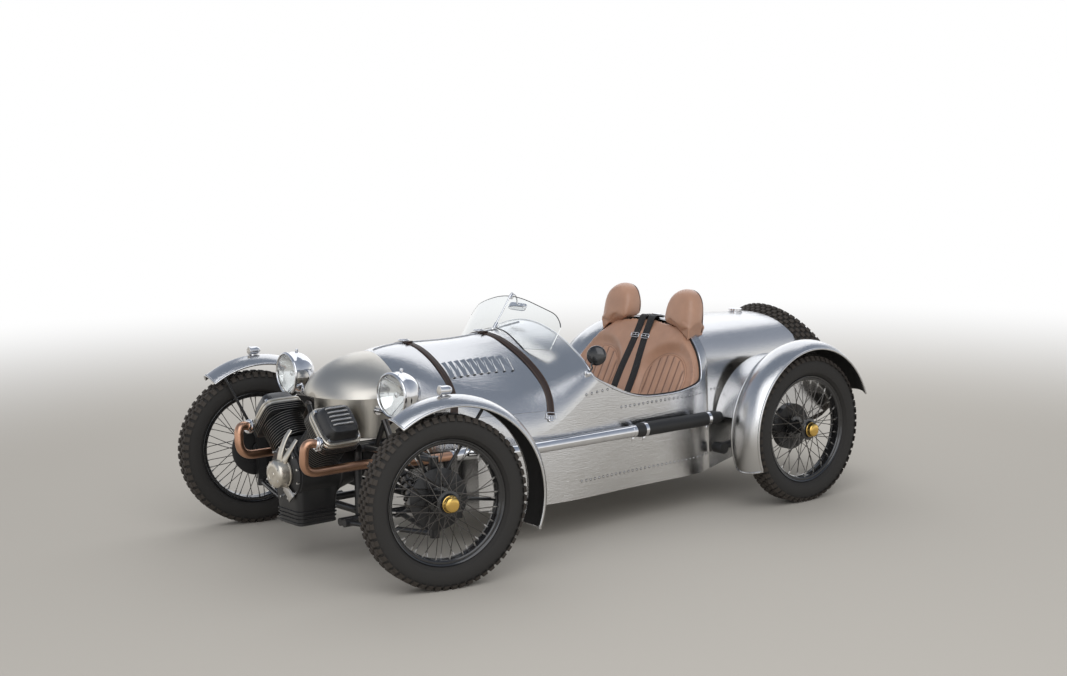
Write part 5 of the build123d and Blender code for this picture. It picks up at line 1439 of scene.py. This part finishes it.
damper_x, coil_turns, coil_radius, coil_foot, coil_length = station(0.025), 8.5, 0.0275, 0.088, 0.250
for name, side in sides:
    low = np.array([damper_x, side * 0.520, 0.226])
    high = np.array([damper_x, side * 0.290, 0.610])
    tower = np.array([damper_x, side * 0.2325, 0.498])
    way = unit(high - low)
    spring_turn = np.stack([[1.0, 0, 0], np.cross(way, [1.0, 0, 0]), way], 1)
    length = float(np.linalg.norm(high - low))
    wind = np.linspace(0, 1, 360)
    angle = 2 * np.pi * coil_turns * wind
    coil = np.stack([coil_radius * np.cos(angle), coil_radius * np.sin(angle), coil_foot + coil_length * wind], 1)
    damper = [(0.0, 0.0), (0.0, 0.0140), (0.060, 0.0140), (0.062, 0.0340), (0.084, 0.0340), (0.086, 0.0200),
              (0.235, 0.0200), (0.238, 0.0060), (0.335, 0.0060), (0.336, 0.0335), (0.346, 0.0335), (0.348, 0.0140),
              (length, 0.0140), (length, 0.0)]
    make_piece(f"front_damper_{name}", [
        (moved(along(coil, ring(0.0052, 8), (0, 0, 1)), spring_turn, low), satin_black),
        (moved(turned(damper, 28), spring_turn, low), spoke_steel),
        (bars([high + [0, 0, -0.010]], [tower], 0.0110, 16), satin_black),
    ], "chassis", ("front_dampers",), 40)


# Cockpit controls: a three-spoke wheel with a black grip on its column, its drilled holes shown as
# black discs of painted shade, and round black dials with chrome rims and plain white marks in the brushed panel.
grip_black = plain_metal("grip_black", (0.016, 0.015, 0.015), 0.55, 0.5, 0.0)
dial_black = plain_metal("dial_black", (0.008, 0.008, 0.008), 0.35, 0.0, 0.0, 0.6)
dial_white = plain_metal("dial_white", (0.82, 0.80, 0.74), 0.5, 0.0, 0.0)
column_axis = joints["steering_wheel_turn"]["axis"]
column_turn = facing(unit(np.array(column_axis, float) * np.sign(column_axis[0])))
column_end = np.array([station(1.190), 0.200, 0.690])
grip_turn = full_turn(180)
grip_radius, dish = 0.150, 0.020
grip_line = np.stack([grip_radius * np.cos(grip_turn), grip_radius * np.sin(grip_turn), dish + 0 * grip_turn], 1)
grip_size = 1 + 0.05 * np.cos(30 * grip_turn)
grip_sections = grip_size[:, None, None] * ring(0.0118, 14)
wheel_parts = [(along(grip_line, grip_sections, (0, 0, 1), True), grip_black)]
spoke_reach = np.linspace(0.024, 0.143, 12)
spoke_width = 0.030 - 0.010 * eased(spoke_reach, 0.024, 0.120) + 0.010 * eased(spoke_reach, 0.125, 0.143)
spoke_sections = np.array([strap_section(wide, 0.0042) for wide in spoke_width])
for angle in (90, 210, 330):
    way = np.array([math.cos(math.radians(angle)), math.sin(math.radians(angle)), 0])
    wheel_parts.append((along(spoke_reach[:, None] * way + [0, 0, dish], spoke_sections, (0, 0, 1)), brushed))
    for reach, radius in ((0.056, 0.0062), (0.080, 0.0055), (0.104, 0.0048)):
        # Each drilled hole is a black disc of painted shade laid on the solid spoke.
        hole = moved(turned(hoop(0, 0.0024, 0.0, radius), 20), None, reach * way + [0, 0, dish])
        wheel_parts.append((hole, mouth_black))
boss = [(0.0004, 0.0), (0.0004, 0.024), (0.016, 0.027), (0.0225, 0.027), (0.0235, 0.025), (0.0235, 0.018),
        (0.028, 0.016), (0.030, 0.010), (0.0305, 0.0)]
wheel_parts.append((turned(boss, 40), chrome))
bolt_turn = np.radians(np.arange(6) * 60)
bolt_feet = np.stack([0.0215 * np.cos(bolt_turn), 0.0215 * np.sin(bolt_turn), np.full(6, 0.0230)], 1)
wheel_parts.append((bars(bolt_feet, bolt_feet + [0, 0, 0.003], 0.0024, 6), satin_black))
parts = [(moved(shape, column_turn, column_end), finish) for shape, finish in wheel_parts]
make_piece("steering_wheel_gripped", parts, "steering_wheel", ("steering_wheel",), 40)

panel_x, dial_turn = station(1.0002), facing((1.0, 0, 0), (0, 0, 1.0))
dial_hub = [(0.0022, 0.0), (0.0022, 0.0032), (0.0045, 0.0026), (0.0045, 0.0)]
knob = [(0.0, 0.0), (0.0, 0.0090), (0.003, 0.0090), (0.004, 0.0040), (0.012, 0.0036), (0.018, 0.0052), (0.020, 0.0)]
marks = np.radians(np.linspace(-225, 45, 19))
mark_way = np.stack([np.cos(marks), np.sin(marks), 0 * marks], 1)
mark_share = np.where(np.arange(19) % 3 == 0, 0.70, 0.78)[:, None]
dial_parts = []
for across, height, radius, needle in ((-0.105, 0.800, 0.028, 40), (-0.020, 0.815, 0.043, 200),
                                       (0.085, 0.815, 0.043, 150), (-0.185, 0.780, 0.028, 100)):
    bezel = [(0.0, radius), (0.004, radius + 0.0005), (0.007, radius - 0.002), (0.0065, radius - 0.004),
             (0.003, radius - 0.0045), (0.0, radius - 0.0045)]
    face = [(0.0002, 0.0), (0.0002, radius - 0.004), (0.0022, radius - 0.004), (0.0022, 0.0)]
    inner = mark_share * radius * mark_way + [0, 0, 0.0025]
    outer = 0.85 * (radius - 0.001) * mark_way + [0, 0, 0.0025]
    point = np.radians([needle])
    tip = np.stack([np.cos(point), np.sin(point), 0 * point], 1)
    hand = bars(-0.15 * radius * tip + [0, 0, 0.0032], 0.72 * radius * tip + [0, 0, 0.0032], 0.0010, 6, 0.0004)
    shapes = [(turned(bezel, 48), chrome), (turned(face, 48), dial_black),
              (bars(inner, outer, 0.0005, 4), dial_white),
              (hand, dial_white), (turned(dial_hub, 16), satin_black)]
    place = (panel_x, across, height)
    dial_parts += [(moved(shape, dial_turn, place), finish) for shape, finish in shapes]
for across in (-0.29, -0.26, -0.23):
    dial_parts.append((moved(turned(knob, 20), dial_turn, (panel_x, across, 0.730)), chrome))
make_piece("dashboard_dials", dial_parts, "chassis", (), 40)
